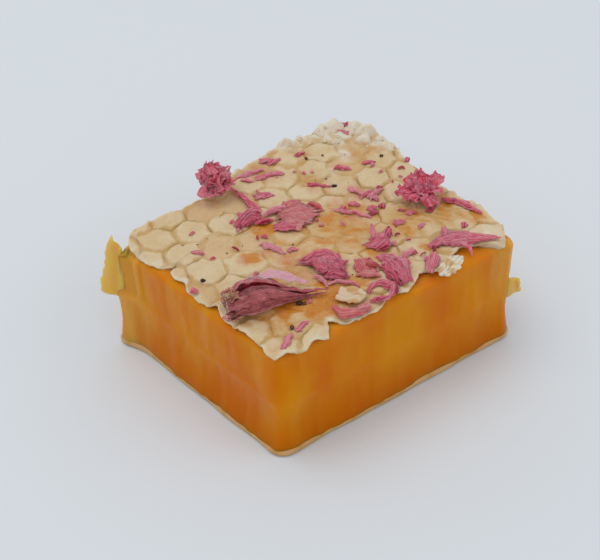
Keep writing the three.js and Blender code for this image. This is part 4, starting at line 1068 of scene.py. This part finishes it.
# Loose petals on the wax: x, y, heading in degrees, length, width, tone.
SCRAPS = [
    (3.7, 15.4, -8, 3.4, 1.3, 0.6), (7.0, 17.9, 5, 2.4, 1.2, 0.5), (0.5, 11.1, -20, 2.8, 1.7, 0.6),
    (9.2, 8.4, -42, 4.0, 0.9, 0.3), (15.4, 10.0, -55, 2.8, 0.9, 0.55),
    (19.6, 8.6, -30, 2.0, 0.9, 0.3), (11.9, 17.0, 20, 2.4, 0.9, 0.3),
    (-3.6, -2.7, -30, 1.6, 1.0, 0.6), (-5.6, -0.6, -75, 5.0, 1.3, 1.4),
    (-15.5, 4.8, -25, 1.8, 0.9, 0.8), (-20.2, -2.0, -60, 1.5, 1.0, 0.5),
    (-15.6, -18.6, 30, 3.4, 0.9, 0.8), (-12.2, -17.4, 10, 2.6, 1.0, 0.7),
    (15.5, -9.6, 15, 1.6, 0.7, 0.6), (20.6, -13.6, 50, 1.6, 0.8, 0.3),
    (12.3, -1.6, 75, 2.2, 1.5, 0.35), (11.7, -2.9, 10, 1.5, 1.1, -0.3),
    (14.0, -2.0, 40, 1.6, 0.9, -0.1), (8.7, 1.0, 20, 1.5, 1.2, 0.4),
    (10.6, 0.9, -50, 1.8, 1.0, 0.8), (13.9, 1.9, 8, 3.0, 1.3, 0.5),
    (13.5, -6.8, -30, 1.8, 1.4, 0.75), (16.2, -6.0, -20, 2.0, 1.0, 0.6),
    (8.9, -1.0, -55, 6.4, 0.7, 0.9), (2.2, 17.4, -12, 5.2, 1.0, 1.1),
    (0.6, 15.9, -50, 2.0, 0.9, 0.7), (5.6, 14.7, -40, 2.6, 1.0, 0.9),
    (6.2, 19.2, -30, 2.4, 1.5, 0.6), (12.9, 3.5, -70, 2.6, 1.2, 1.3),
    (15.2, 1.1, 5, 3.4, 1.2, 1.2), (25.0, 5.5, 40, 1.5, 1.2, 0.2), (22.8, 19.2, 60, 1.2, 0.9, 0.2),
    (21.3, 17.8, -50, 1.8, 1.2, 1.0), (3.9, 5.8, 30, 0.9, 0.6, -0.6),
    (9.8, -13.4, 20, 2.6, 1.6, 1.2), (19.4, -7.3, 15, 2.0, 1.2, -0.2),
]
SMALL_SCRAPS = 46
# The small scraps' numbers are drawn between these, in the same order.
SMALL_RANGES = [(-16, 23), (-17, 15), (0, 180), (0.5, 1.4), (0.3, 0.7), (-0.2, 1.3)]


def scraps_skin():
    """The named scraps, and small ones drawn at random, each a short torn petal."""
    draw = np.random.default_rng(19)
    rows = SCRAPS + [[draw.uniform(*ends) for ends in SMALL_RANGES] for _ in range(SMALL_SCRAPS)]
    skins = []
    for k, (x, y, heading, length, width, tone) in enumerate(rows):
        turn = math.radians(heading)
        dx, dy = length / 2 * math.cos(turn), length / 2 * math.sin(turn)
        lift = 0.1 * draw.random()
        route = [(x - dx, y - dy, lift), (x, y, 0.3 + lift), (x + dx, y + dy, lift)]
        steps, across = (10, 8) if length < 1.5 else (30, 20)
        skins.append(petal(route, width, 0.7, 0.6, 2, 0.4, 0.2, 0.2, 100 + k, tone,
                           torn=1.0, settle=0.85, steps=steps, rows=across))
    return join(skins)


# Crumbs of calyx: x, y, radius.
SPECKS = [
    (12.1, 15.8, 0.32), (14.6, 14.6, 0.22), (22.3, 8.8, 0.28), (11.2, 6.8, 0.32),
    (-18.1, -1.1, 0.34), (-9.8, -13.5, 0.42), (-9.3, -14.0, 0.3), (-13.5, -17.0, 0.36),
    (4.6, -15.9, 0.24), (4.0, -16.3, 0.2),
]
FINE_SPECKS = 26
FINE_SPECK_RANGES = [(-17, 24), (-18, 15), (0.07, 0.15)]


def specks_skin():
    """Dark crumbs of dried calyx: the named ones and a few fine ones at random."""
    draw = np.random.default_rng(23)
    fine = np.column_stack([draw.uniform(*ends, FINE_SPECKS) for ends in FINE_SPECK_RANGES])
    x, y, radius = np.vstack([SPECKS, fine]).T
    balls = np.column_stack([x, y, wax_level(x, y) + 0.4 * radius, radius])
    return lumps(balls, flat=0.6, knobbly=0.5, rows=8, seed=140)


PLATE_THICK = 0.3
PLATE_LIFT = 0.05


def plate_skin(at, heading, length, width, wrinkle, pale, seed):
    """A loose plate of wax: a wavy oval with a thin, uneven rim."""
    turn = math.radians(heading)
    u = np.linspace(-1, 1, 61)[:, None]
    v = np.linspace(-1, 1, 41)[None, :]
    along = u * length / 2 * np.sqrt(1 - v**2 / 2)
    across = v * width / 2 * np.sqrt(1 - u**2 / 2)
    ragged = 0.16 * noise(along, across, 0, 1.2, seed) + 0.16 * noise(along, across, 0, 0.5, seed + 4)
    ragged = 1 + ragged
    x = at[0] + (along * math.cos(turn) - across * math.sin(turn)) * ragged
    y = at[1] + (along * math.sin(turn) + across * math.cos(turn)) * ragged
    ridges = wrinkle * np.sin(13 * v + 4 * noise(along, across, 0, 1.8, seed + 1)) * (1 - v**2)
    z = wall_top(x, y) + CAP_DOME + LOOSE_GAP + PLATE_LIFT + ridges + 0.14 * rough(x, y, 0, 2.2, 3, seed + 2)
    z = np.maximum(z, wax_level(x, y) + LOOSE_GAP)
    blotch = smooth(rough(x, y, 0, 1.2, 3, seed + 3), -0.4, 0.5)
    return sheet(
        np.stack([x, y, z], -1),
        PLATE_THICK,
        pale=np.clip(pale * blotch + 2 * ridges, 0, 1),
        cap=smooth(blotch, 0.1, 0.6),
        tone=0.3,
        stain=(1 - pale) * (0.4 + 0.6 * blotch),
        wet=0.3 * (1 - pale) * (1 - blotch),
    )


# ---------------------------------------------------------------- materials


def add(tree, kind, inputs=None, out=0, **settings):
    """Adds a node of KIND with its settings, sets or links its inputs, and returns its output OUT.

    A colour is given as its three linear numbers."""
    made = tree.nodes.new("ShaderNode" + kind)
    for name, value in settings.items():
        setattr(made, name, value)
    for key, value in (inputs or {}).items():
        socket = made.inputs[key]
        if isinstance(value, bpy.types.NodeSocket):
            tree.links.new(value, socket)
        else:
            socket.default_value = (*value, 1.0) if socket.type == "RGBA" else value
    return made.outputs[out]


def new_material(name):
    """An empty node material and its tree."""
    material = bpy.data.materials.new(name)
    material.use_nodes = True
    material.node_tree.nodes.clear()
    return material, material.node_tree


def finish_material(tree, ground, layers, height, distance, **surface):
    """Ends a tree in a Principled surface, bumped by HEIGHT times DISTANCE.

    Its colour is GROUND with each of LAYERS, a share and a colour, laid over it in turn."""
    colour = ground
    for share, tint in layers:
        colour = add(tree, "Mix", {0: share, 6: colour, 7: tint}, 2, data_type="RGBA")
    normal = add(tree, "Bump", {"Height": height, "Distance": distance, "Strength": 1.0})
    inputs = {"Base Color": colour, "Normal": normal}
    inputs.update({key.replace("_", " "): value for key, value in surface.items()})
    end = tree.nodes.new("ShaderNodeOutputMaterial")
    tree.links.new(add(tree, "BsdfPrincipled", inputs), end.inputs["Surface"])


def honey_material(props):
    """Set honey in its cut cells: a clear amber gel under a wet, glossy skin."""
    material, tree = new_material("Set honey, cut and wet")
    place = add(tree, "TexCoord", out="Object")
    stretch = add(tree, "Mapping", {0: place, 3: (1, 1, 0.45)})
    cloud = add(tree, "TexNoise", {"Vector": stretch, "Scale": 1 / (7 * MM), "Detail": 3.0})
    fine = add(tree, "TexNoise", {"Vector": stretch, "Scale": 1 / (1.4 * MM), "Detail": 2.0})
    wall, high, corner = (
        add(tree, "Attribute", out="Fac", attribute_name=name) for name in ("wall", "high", "open")
    )
    bare = add(tree, "MapRange", {0: corner, 1: 0.1, 2: 0.7, 3: 0.06, 4: 1.4})
    thin = add(tree, "Math", {0: wall, 1: fine}, operation="MULTIPLY")
    layers = [
        (add(tree, "MapRange", {0: cloud, 1: 0.36, 2: 0.64}), props.honey_light),
        (add(tree, "MapRange", {0: high, 1: 1.0, 2: 9.0, 3: 0.75, 4: 0.0}), props.honey_low),
        (add(tree, "Math", {0: thin, 1: bare}, operation="MULTIPLY"), props.comb_wall),
        (add(tree, "MapRange", {0: high, 1: 16.0, 2: 19.0, 4: 0.15}), props.comb_wall),
        (add(tree, "Math", {0: corner, 1: 0.55}, operation="MULTIPLY"), props.comb_wall),
    ]
    finish_material(
        tree, props.honey_deep, layers, cloud, 0.2 * MM,
        Roughness=0.14, IOR=1.49, Specular_IOR_Level=0.08, Specular_Tint=(1.0, 0.5, 0.12),
        Subsurface_Weight=0.75, Subsurface_Radius=(1.0, 0.3, 0.03), Subsurface_Scale=3.0 * MM,
    )
    return material


def wax_material(props):
    """Beeswax capping: drawn thin over the cells, dry on its caps and wet where honey soaks it."""
    material, tree = new_material("Beeswax capping, torn")
    place = add(tree, "TexCoord", out="Object")
    cloud = add(tree, "TexNoise", {"Vector": place, "Scale": 1 / (2.6 * MM), "Detail": 4.0})
    fine = add(tree, "TexNoise", {"Vector": place, "Scale": 1 / (0.5 * MM), "Detail": 3.0})
    crack, mottle, wet, pale, stain, tone = (
        add(tree, "Attribute", out="Fac", attribute_name=name)
        for name in ("crack", "cap", "wet", "pale", "stain", "tone")
    )
    for share, strength in ((tone, 0.35), (cloud, 1.3), (fine, 0.7)):
        mottle = add(tree, "Math", {0: share, 1: strength, 2: mottle}, operation="MULTIPLY_ADD")
    layers = [(add(tree, "MapRange", {0: mottle, 1: 1.0, 2: 2.3}), props.wax_light)]
    film = add(tree, "MapRange", {0: wet, 1: 0.7, 2: 1.0})
    for share, strength, tint in (
        (wet, 0.85, props.wax_wet),
        (stain, 0.5, props.wax_stain),
        (film, 0.7, props.wax_film),
        (crack, 0.7, props.wax_groove),
        (pale, 0.9, props.wax_white),
    ):
        layers.append((add(tree, "Math", {0: share, 1: strength}, operation="MULTIPLY"), tint))
    gloss = add(tree, "MapRange", {0: wet, 1: 0.0, 2: 0.7, 3: 0.5, 4: 0.16})
    finish_material(
        tree, props.wax_dark, layers, fine, 0.12 * MM,
        Roughness=gloss, IOR=1.44, Specular_IOR_Level=0.35, Subsurface_Weight=0.35,
        Subsurface_Radius=(1.0, 0.6, 0.3), Subsurface_Scale=1.0 * MM,
    )
    return material


def crumb_material(props):
    """Crumbled beeswax: dry, white and matt."""
    material, tree = new_material("Beeswax crumbs")
    place = add(tree, "TexCoord", out="Object")
    cloud = add(tree, "TexNoise", {"Vector": place, "Scale": 1 / (1.6 * MM), "Detail": 4.0})
    fine = add(tree, "TexNoise", {"Vector": place, "Scale": 1 / (0.4 * MM), "Detail": 3.0})
    share = add(tree, "MapRange", {0: cloud, 1: 0.38, 2: 0.62})
    finish_material(
        tree, props.wax_light, [(share, props.wax_white)], fine, 0.08 * MM,
        Roughness=0.55, IOR=1.44, Subsurface_Weight=0.4, Subsurface_Radius=(1.0, 0.7, 0.4),
        Subsurface_Scale=1.0 * MM,
    )
    return material


def wall_material(props):
    """A cell wall soaked with honey: thin yellow wax that light passes through."""
    material, tree = new_material("Comb wall, thin and wet")
    place = add(tree, "TexCoord", out="Object")
    stretch = add(tree, "Mapping", {0: place, 3: (1, 1, 0.3)})
    cloud = add(tree, "TexNoise", {"Vector": stretch, "Scale": 1 / (1.1 * MM), "Detail": 3.0})
    share = add(tree, "MapRange", {0: cloud, 1: 0.35, 2: 0.65})
    finish_material(
        tree, props.comb_wall, [(share, props.fin_yellow)], cloud, 0.15 * MM,
        Roughness=0.3, IOR=1.45, Subsurface_Weight=0.8, Subsurface_Radius=(1.0, 0.7, 0.2),
        Subsurface_Scale=2.5 * MM, Coat_Weight=0.3, Coat_Roughness=0.15,
    )
    return material


def petal_material(name, dark, middle, light, vein=0.6):
    """A dried petal: matt, veined along its length, darker at its edges, with painted shade in its folds and
    painted highlight on its ridges.

    VEIN is the veins' share of the tone, and the steps between the colours follow it."""
    material, tree = new_material(name)
    along, across, fold, edge, lit = (
        add(tree, "Attribute", out="Fac", attribute_name=key)
        for key in ("along", "across", "fold", "edge", "tone")
    )
    place = add(tree, "TexCoord", out="Object")
    own = add(tree, "CombineXYZ", {0: along, 1: across})
    drawn = add(tree, "Mapping", {0: own, 3: (0.35, 1, 1)})
    # Veins about 0.3 mm apart.
    wave = {"Vector": drawn, "Scale": 1.1, "Distortion": 6.0, "Detail": 3.0}
    veins = add(tree, "TexWave", wave, 1, bands_direction="Y")
    cloud = add(tree, "TexNoise", {"Vector": place, "Scale": 1 / (0.9 * MM), "Detail": 3.0})
    # The fold number adds painted shade in the pleats' hollows and painted highlight on their ridges.
    for share, strength in ((fold, 0.4), (cloud, 1.2), (veins, vein), (edge, -0.2)):
        lit = add(tree, "Math", {0: share, 1: strength, 2: lit}, operation="MULTIPLY_ADD")
    start = 0.4 + vein / 2
    low = add(tree, "MapRange", {0: lit, 1: start, 2: start + 0.6})
    top = add(tree, "MapRange", {0: lit, 1: start + 0.7, 2: start + 1.3})
    finish_material(
        tree, dark, [(low, middle), (top, light)], veins, 0.1 * vein * MM,
        Roughness=0.55, IOR=1.4, Subsurface_Weight=0.6, Subsurface_Radius=(1.0, 0.35, 0.45),
        Subsurface_Scale=0.8 * MM, Sheen_Weight=0.12, Sheen_Roughness=0.5,
    )
    return material


def speck_material(name, dark, light):
    """Dried calyx and anthers: dark, brittle and matt."""
    material, tree = new_material(name)
    place = add(tree, "TexCoord", out="Object")
    cloud = add(tree, "TexNoise", {"Vector": place, "Scale": 1 / (0.35 * MM), "Detail": 3.0})
    own = add(tree, "Attribute", out="Fac", attribute_name="own")
    share = add(tree, "Math", {0: cloud, 1: own}, operation="MULTIPLY")
    finish_material(tree, dark, [(share, light)], cloud, 0.05 * MM, Roughness=0.7, IOR=1.45)
    return material


def table_material(colour):
    """A painted table top: matt, its tint drifting a little over a hand's breadth."""
    material, tree = new_material("Matt painted table")
    place = add(tree, "TexCoord", out="Object")
    cloud = add(tree, "TexNoise", {"Vector": place, "Scale": 8.0, "Detail": 2.0})
    shade = [0.97 * c for c in colour]
    finish_material(tree, colour, [(cloud, shade)], cloud, 0.01 * MM, Roughness=0.8)
    return material


# ---------------------------------------------------------------- what a user can change


def colour_property(name, description, code):
    """A colour that a user can change, given as an sRGB hex code."""
    return FloatVectorProperty(name=name, description=description, subtype="COLOR", size=3,
                               min=0.0, max=1.0, default=linear(code))


class CombSettings(bpy.types.PropertyGroup):
    """Sizes and colours of the honey and the comb's walls."""

    flute: FloatProperty(
        name="Flute depth", description="How far honey lies behind the cut cell walls",
        default=0.07 * MM, min=0.0, max=1.5 * MM, precision=5, unit="LENGTH", subtype="DISTANCE")
    honey_deep: colour_property("Deep honey", "Honey where it is thickest", "#d67208")
    honey_light: colour_property("Light honey", "Honey where light passes through", "#dc8c0c")
    honey_low: colour_property("Low honey", "Honey near the foot, where it has drained", "#c05c06")
    comb_wall: colour_property("Comb wall", "Wax of the cut cell walls", "#dba650")
    fin_yellow: colour_property("Torn wall", "Thin yellow wall at the open corner", "#dcb63e")


class WaxSettings(bpy.types.PropertyGroup):
    """Colours of the cappings."""

    wax_light: colour_property("Cap", "Dry wax on a cell's cap", "#dcc49c")
    wax_dark: colour_property("Cap in shade", "Wax with honey close under it", "#c9a266")
    wax_groove: colour_property("Crease", "Wax in the creases over the walls", "#86622e")
    wax_wet: colour_property("Soaked wax", "Wax under a film of honey", "#cf8a2c")
    wax_film: colour_property("Honey film", "Honey pooled on the wax", "#cc7814")
    wax_white: colour_property("White wax", "Torn lips and crumbs", "#e4dac6")
    wax_stain: colour_property("Petal stain", "Wax tinted by petals", "#cf8a74")


class PetalSettings(bpy.types.PropertyGroup):
    """Colours of the dried petals."""

    # The dark tones are the petals' own darker colour, at their rims and elsewhere, and painted shade in
    # their folds; the light tones are painted highlight on their ridges and the petals' own lighter streaks.
    magenta_dark: colour_property("Magenta, dark", "Folds and rims of the magenta petals", "#8a2438")
    magenta: colour_property("Magenta", "Middle tone of the magenta petals", "#d4546a")
    magenta_light: colour_property("Magenta, light", "Ridges of the magenta petals", "#e28690")
    vivid_dark: colour_property("Vivid, dark", "Folds of the tuft at the right", "#8c1430")
    vivid: colour_property("Vivid", "Middle tone of the tuft at the right", "#d23c58")
    vivid_light: colour_property("Vivid, light", "Ridges of the tuft at the right", "#e27a8a")
    salmon_dark: colour_property("Salmon, dark", "Folds of the salmon petals", "#b04c4c")
    salmon: colour_property("Salmon", "Middle tone of the salmon petals", "#d96868")
    salmon_light: colour_property("Salmon, light", "Ridges of the salmon petals", "#e48c88")
    mauve_dark: colour_property("Mauve, dark", "Hollow of the floret", "#5c141c")
    mauve: colour_property("Mauve", "Middle tone of the floret", "#b25658")
    mauve_light: colour_property("Mauve, light", "Ridges of the floret", "#dca0a8")


class StageSettings(bpy.types.PropertyGroup):
    """The table and the camera's lens."""

    floor_colour: colour_property("Table", "Pale table top", "#e2e6e9")
    lens: FloatProperty(name="Lens", description="Focal length of the camera in millimetres",
                        default=70.0, min=20.0, max=200.0, unit="CAMERA")
    floor_size: FloatProperty(name="Table size", description="Side of the square table top",
                              default=3.0, min=0.5, max=10.0, unit="LENGTH", subtype="DISTANCE")


def settings(context):
    """The four groups of settings of a scene."""
    scene = context.scene
    return scene.honey_comb, scene.honey_wax, scene.honey_petals, scene.honey_stage


# ---------------------------------------------------------------- operators


class HONEY_OT_stage(bpy.types.Operator):
    """Makes the table, the soft studio light and the camera"""

    bl_idname = "honey.stage"
    bl_label = "Table, light and camera"

    CAMERA_AT = (-0.07913, -0.11573, 0.12754)
    CAMERA_RIGHT = (0.8174, -0.5758, -0.0201)
    CAMERA_UP = (0.3822, 0.5157, 0.7668)
    # Each lamp's name, its place in metres and its power in watts.
    LAMPS = (("softbox", (-0.20, 0.20, 0.82), 1.9), ("fill", (0.45, -0.55, 0.55), 0.6))
    LAMP_SIZE = 0.6
    SKY = "#e6ebf0"
    SKY_STRENGTH = 0.78

    def execute(self, context):
        props = settings(context)[3]
        scene = context.scene
        scene.view_settings.view_transform = "Standard"
        camera = bpy.data.objects.new("camera", bpy.data.cameras.new("camera"))
        right, up = Vector(self.CAMERA_RIGHT).normalized(), Vector(self.CAMERA_UP).normalized()
        turn = Matrix((right, up, right.cross(up))).transposed()
        camera.matrix_world = Matrix.Translation(self.CAMERA_AT) @ turn.to_4x4()
        camera.data.lens = props.lens
        camera.data.sensor_width = 36.0
        camera.data.clip_start = 0.01
        scene.collection.objects.link(camera)
        scene.camera = camera

        mesh = bpy.data.meshes.new("table")
        half = props.floor_size / 2
        corners = [(-half, -half, 0), (half, -half, 0), (half, half, 0), (-half, half, 0)]
        mesh.from_pydata(corners, [], [(0, 1, 2, 3)])
        mesh.materials.append(table_material(props.floor_colour))
        table = bpy.data.objects.new("table", mesh)
        scene.collection.objects.link(table)

        world = bpy.data.worlds.new("studio")
        world.use_nodes = True
        background = world.node_tree.nodes["Background"]
        background.inputs["Color"].default_value = (*linear(self.SKY), 1.0)
        background.inputs["Strength"].default_value = self.SKY_STRENGTH
        scene.world = world
        for name, place, power in self.LAMPS:
            light = bpy.data.lights.new(name, "AREA")
            light.shape = "SQUARE"
            light.size = self.LAMP_SIZE
            light.energy = power
            lamp = bpy.data.objects.new(name, light)
            lamp.location = place
            lamp.rotation_mode = "QUATERNION"
            lamp.rotation_quaternion = (-Vector(place)).to_track_quat("-Z", "Y")
            scene.collection.objects.link(lamp)
        return {"FINISHED"}


class HONEY_OT_comb(bpy.types.Operator):
    """Makes the cut slab of honey and the torn walls at its corners"""

    bl_idname = "honey.comb"
    bl_label = "Comb"

    def execute(self, context):
        props = settings(context)[0]
        make_piece("comb_body", comb_skin(props.flute / MM), honey_material(props), "comb", "comb")
        wall = wall_material(props)
        fin = flap_skin(FIN, thickness=0.5, crinkle=0.18, seed=40)
        make_piece("torn_wall_fin", fin, wall, "comb", "comb")
        tag = flap_skin(TAG, thickness=0.6, crinkle=0.25, seed=44)
        make_piece("torn_wall_tag", tag, wall, "comb", "comb")
        return {"FINISHED"}


class HONEY_OT_cappings(bpy.types.Operator):
    """Makes the upper and lower cappings, the crumbled wax and the loose plates"""

    bl_idname = "honey.cappings"
    bl_label = "Wax cappings"

    def execute(self, context):
        props = settings(context)[1]
        wax, crumb = wax_material(props), crumb_material(props)
        make_piece("wax_capping", capping_skin(), wax, "capping", "capping_top")
        make_piece("wax_crumbs", crumbs_skin(), crumb, "capping", "capping_top")
        make_piece("wax_bottom", base_skin(), wax, "capping", "capping_base")
        disc = plate_skin((-3.1, -16.4), -37, 4.2, 3.5, wrinkle=0.06, pale=0.35, seed=70)
        make_piece("wax_plate_oval", disc, wax, "wax_scraps", "wax_disc")
        scrap = plate_skin((12.4, -20.0), 18, 5.6, 2.8, wrinkle=0.12, pale=0.9, seed=74)
        make_piece("wax_plate_wrinkled", scrap, wax, "wax_scraps", "wax_scrap_wrinkled")
        return {"FINISHED"}


class HONEY_OT_petals(bpy.types.Operator):
    """Makes the dried petals, the floret, the scraps and the dark specks"""

    bl_idname = "honey.petals"
    bl_label = "Petals"

    def execute(self, context):
        props = settings(context)[2]
        materials = {}
        for kind, name, vein in (
            ("magenta", "Dried rose petal, magenta", 0.6),
            ("vivid", "Dried rose petal, vivid", 0.6),
            ("salmon", "Dried rose petal, salmon", 0.6),
            ("mauve", "Dried floret, mauve", 0.3),
        ):
            tones = [getattr(props, kind + shade) for shade in ("_dark", "", "_light")]
            materials[kind] = petal_material(name, *tones, vein)
        for node, (kind, shared, rows) in PETALS.items():
            skin = join([petal(*row, **shared, **more) for *row, more in rows])
            slot = "petals_" + ("magenta" if kind == "vivid" else kind)
            make_piece("dried_" + node, skin, materials[kind], slot, node)
        make_piece("dried_floret", floret_skin(), materials["mauve"], "petals_mauve", "petal_floret")
        tones = [linear(code) for code in ("#6e2a20", "#b8664a", "#d89a7c")]
        frills = petal_material("Dried floret, browned rim", *tones)
        make_piece("floret_frills", floret_frills_skin(), frills, "petals_mauve", "petal_floret")
        heart = speck_material("Dried anthers", linear("#7a3a22"), linear("#d29a68"))
        make_piece("floret_anthers", floret_heart_skin(), heart, "petals_mauve", "petal_floret")
        make_piece("petal_scraps", scraps_skin(), materials["magenta"], "petals_magenta", "capping_top")
        speck = speck_material("Dried calyx crumbs", linear("#3a1c10"), linear("#96592e"))
        make_piece("calyx_specks", specks_skin(), speck, "petals_mauve", "capping_top")
        return {"FINISHED"}


class HONEY_PT_panel(bpy.types.Panel):
    """Lists the settings and the steps that build the comb honey"""

    bl_idname = "HONEY_PT_panel"
    bl_label = "Cut comb honey"
    bl_space_type = "VIEW_3D"
    bl_region_type = "UI"
    bl_category = "Comb honey"

    def draw(self, context):
        for group in settings(context):
            box = self.layout.box()
            for name in group.__annotations__:
                box.prop(group, name)
        for operator in OPERATORS:
            self.layout.operator(operator.bl_idname)


GROUPS = {
    "honey_comb": CombSettings,
    "honey_wax": WaxSettings,
    "honey_petals": PetalSettings,
    "honey_stage": StageSettings,
}
OPERATORS = (HONEY_OT_stage, HONEY_OT_comb, HONEY_OT_cappings, HONEY_OT_petals)


def register():
    """Adds the settings, the steps and the panel."""
    for name, group in GROUPS.items():
        bpy.utils.register_class(group)
        setattr(bpy.types.Scene, name, PointerProperty(type=group))
    for cls in (*OPERATORS, HONEY_PT_panel):
        bpy.utils.register_class(cls)


def unregister():
    """Takes them away again."""
    for cls in (HONEY_PT_panel, *OPERATORS[::-1]):
        bpy.utils.unregister_class(cls)
    for name, group in GROUPS.items():
        delattr(bpy.types.Scene, name)
        bpy.utils.unregister_class(group)


def main():
    """Builds the comb honey."""
    register()
    bpy.ops.honey.stage()
    bpy.ops.honey.comb()
    bpy.ops.honey.cappings()
    bpy.ops.honey.petals()


if __name__ == "__main__":
    main()
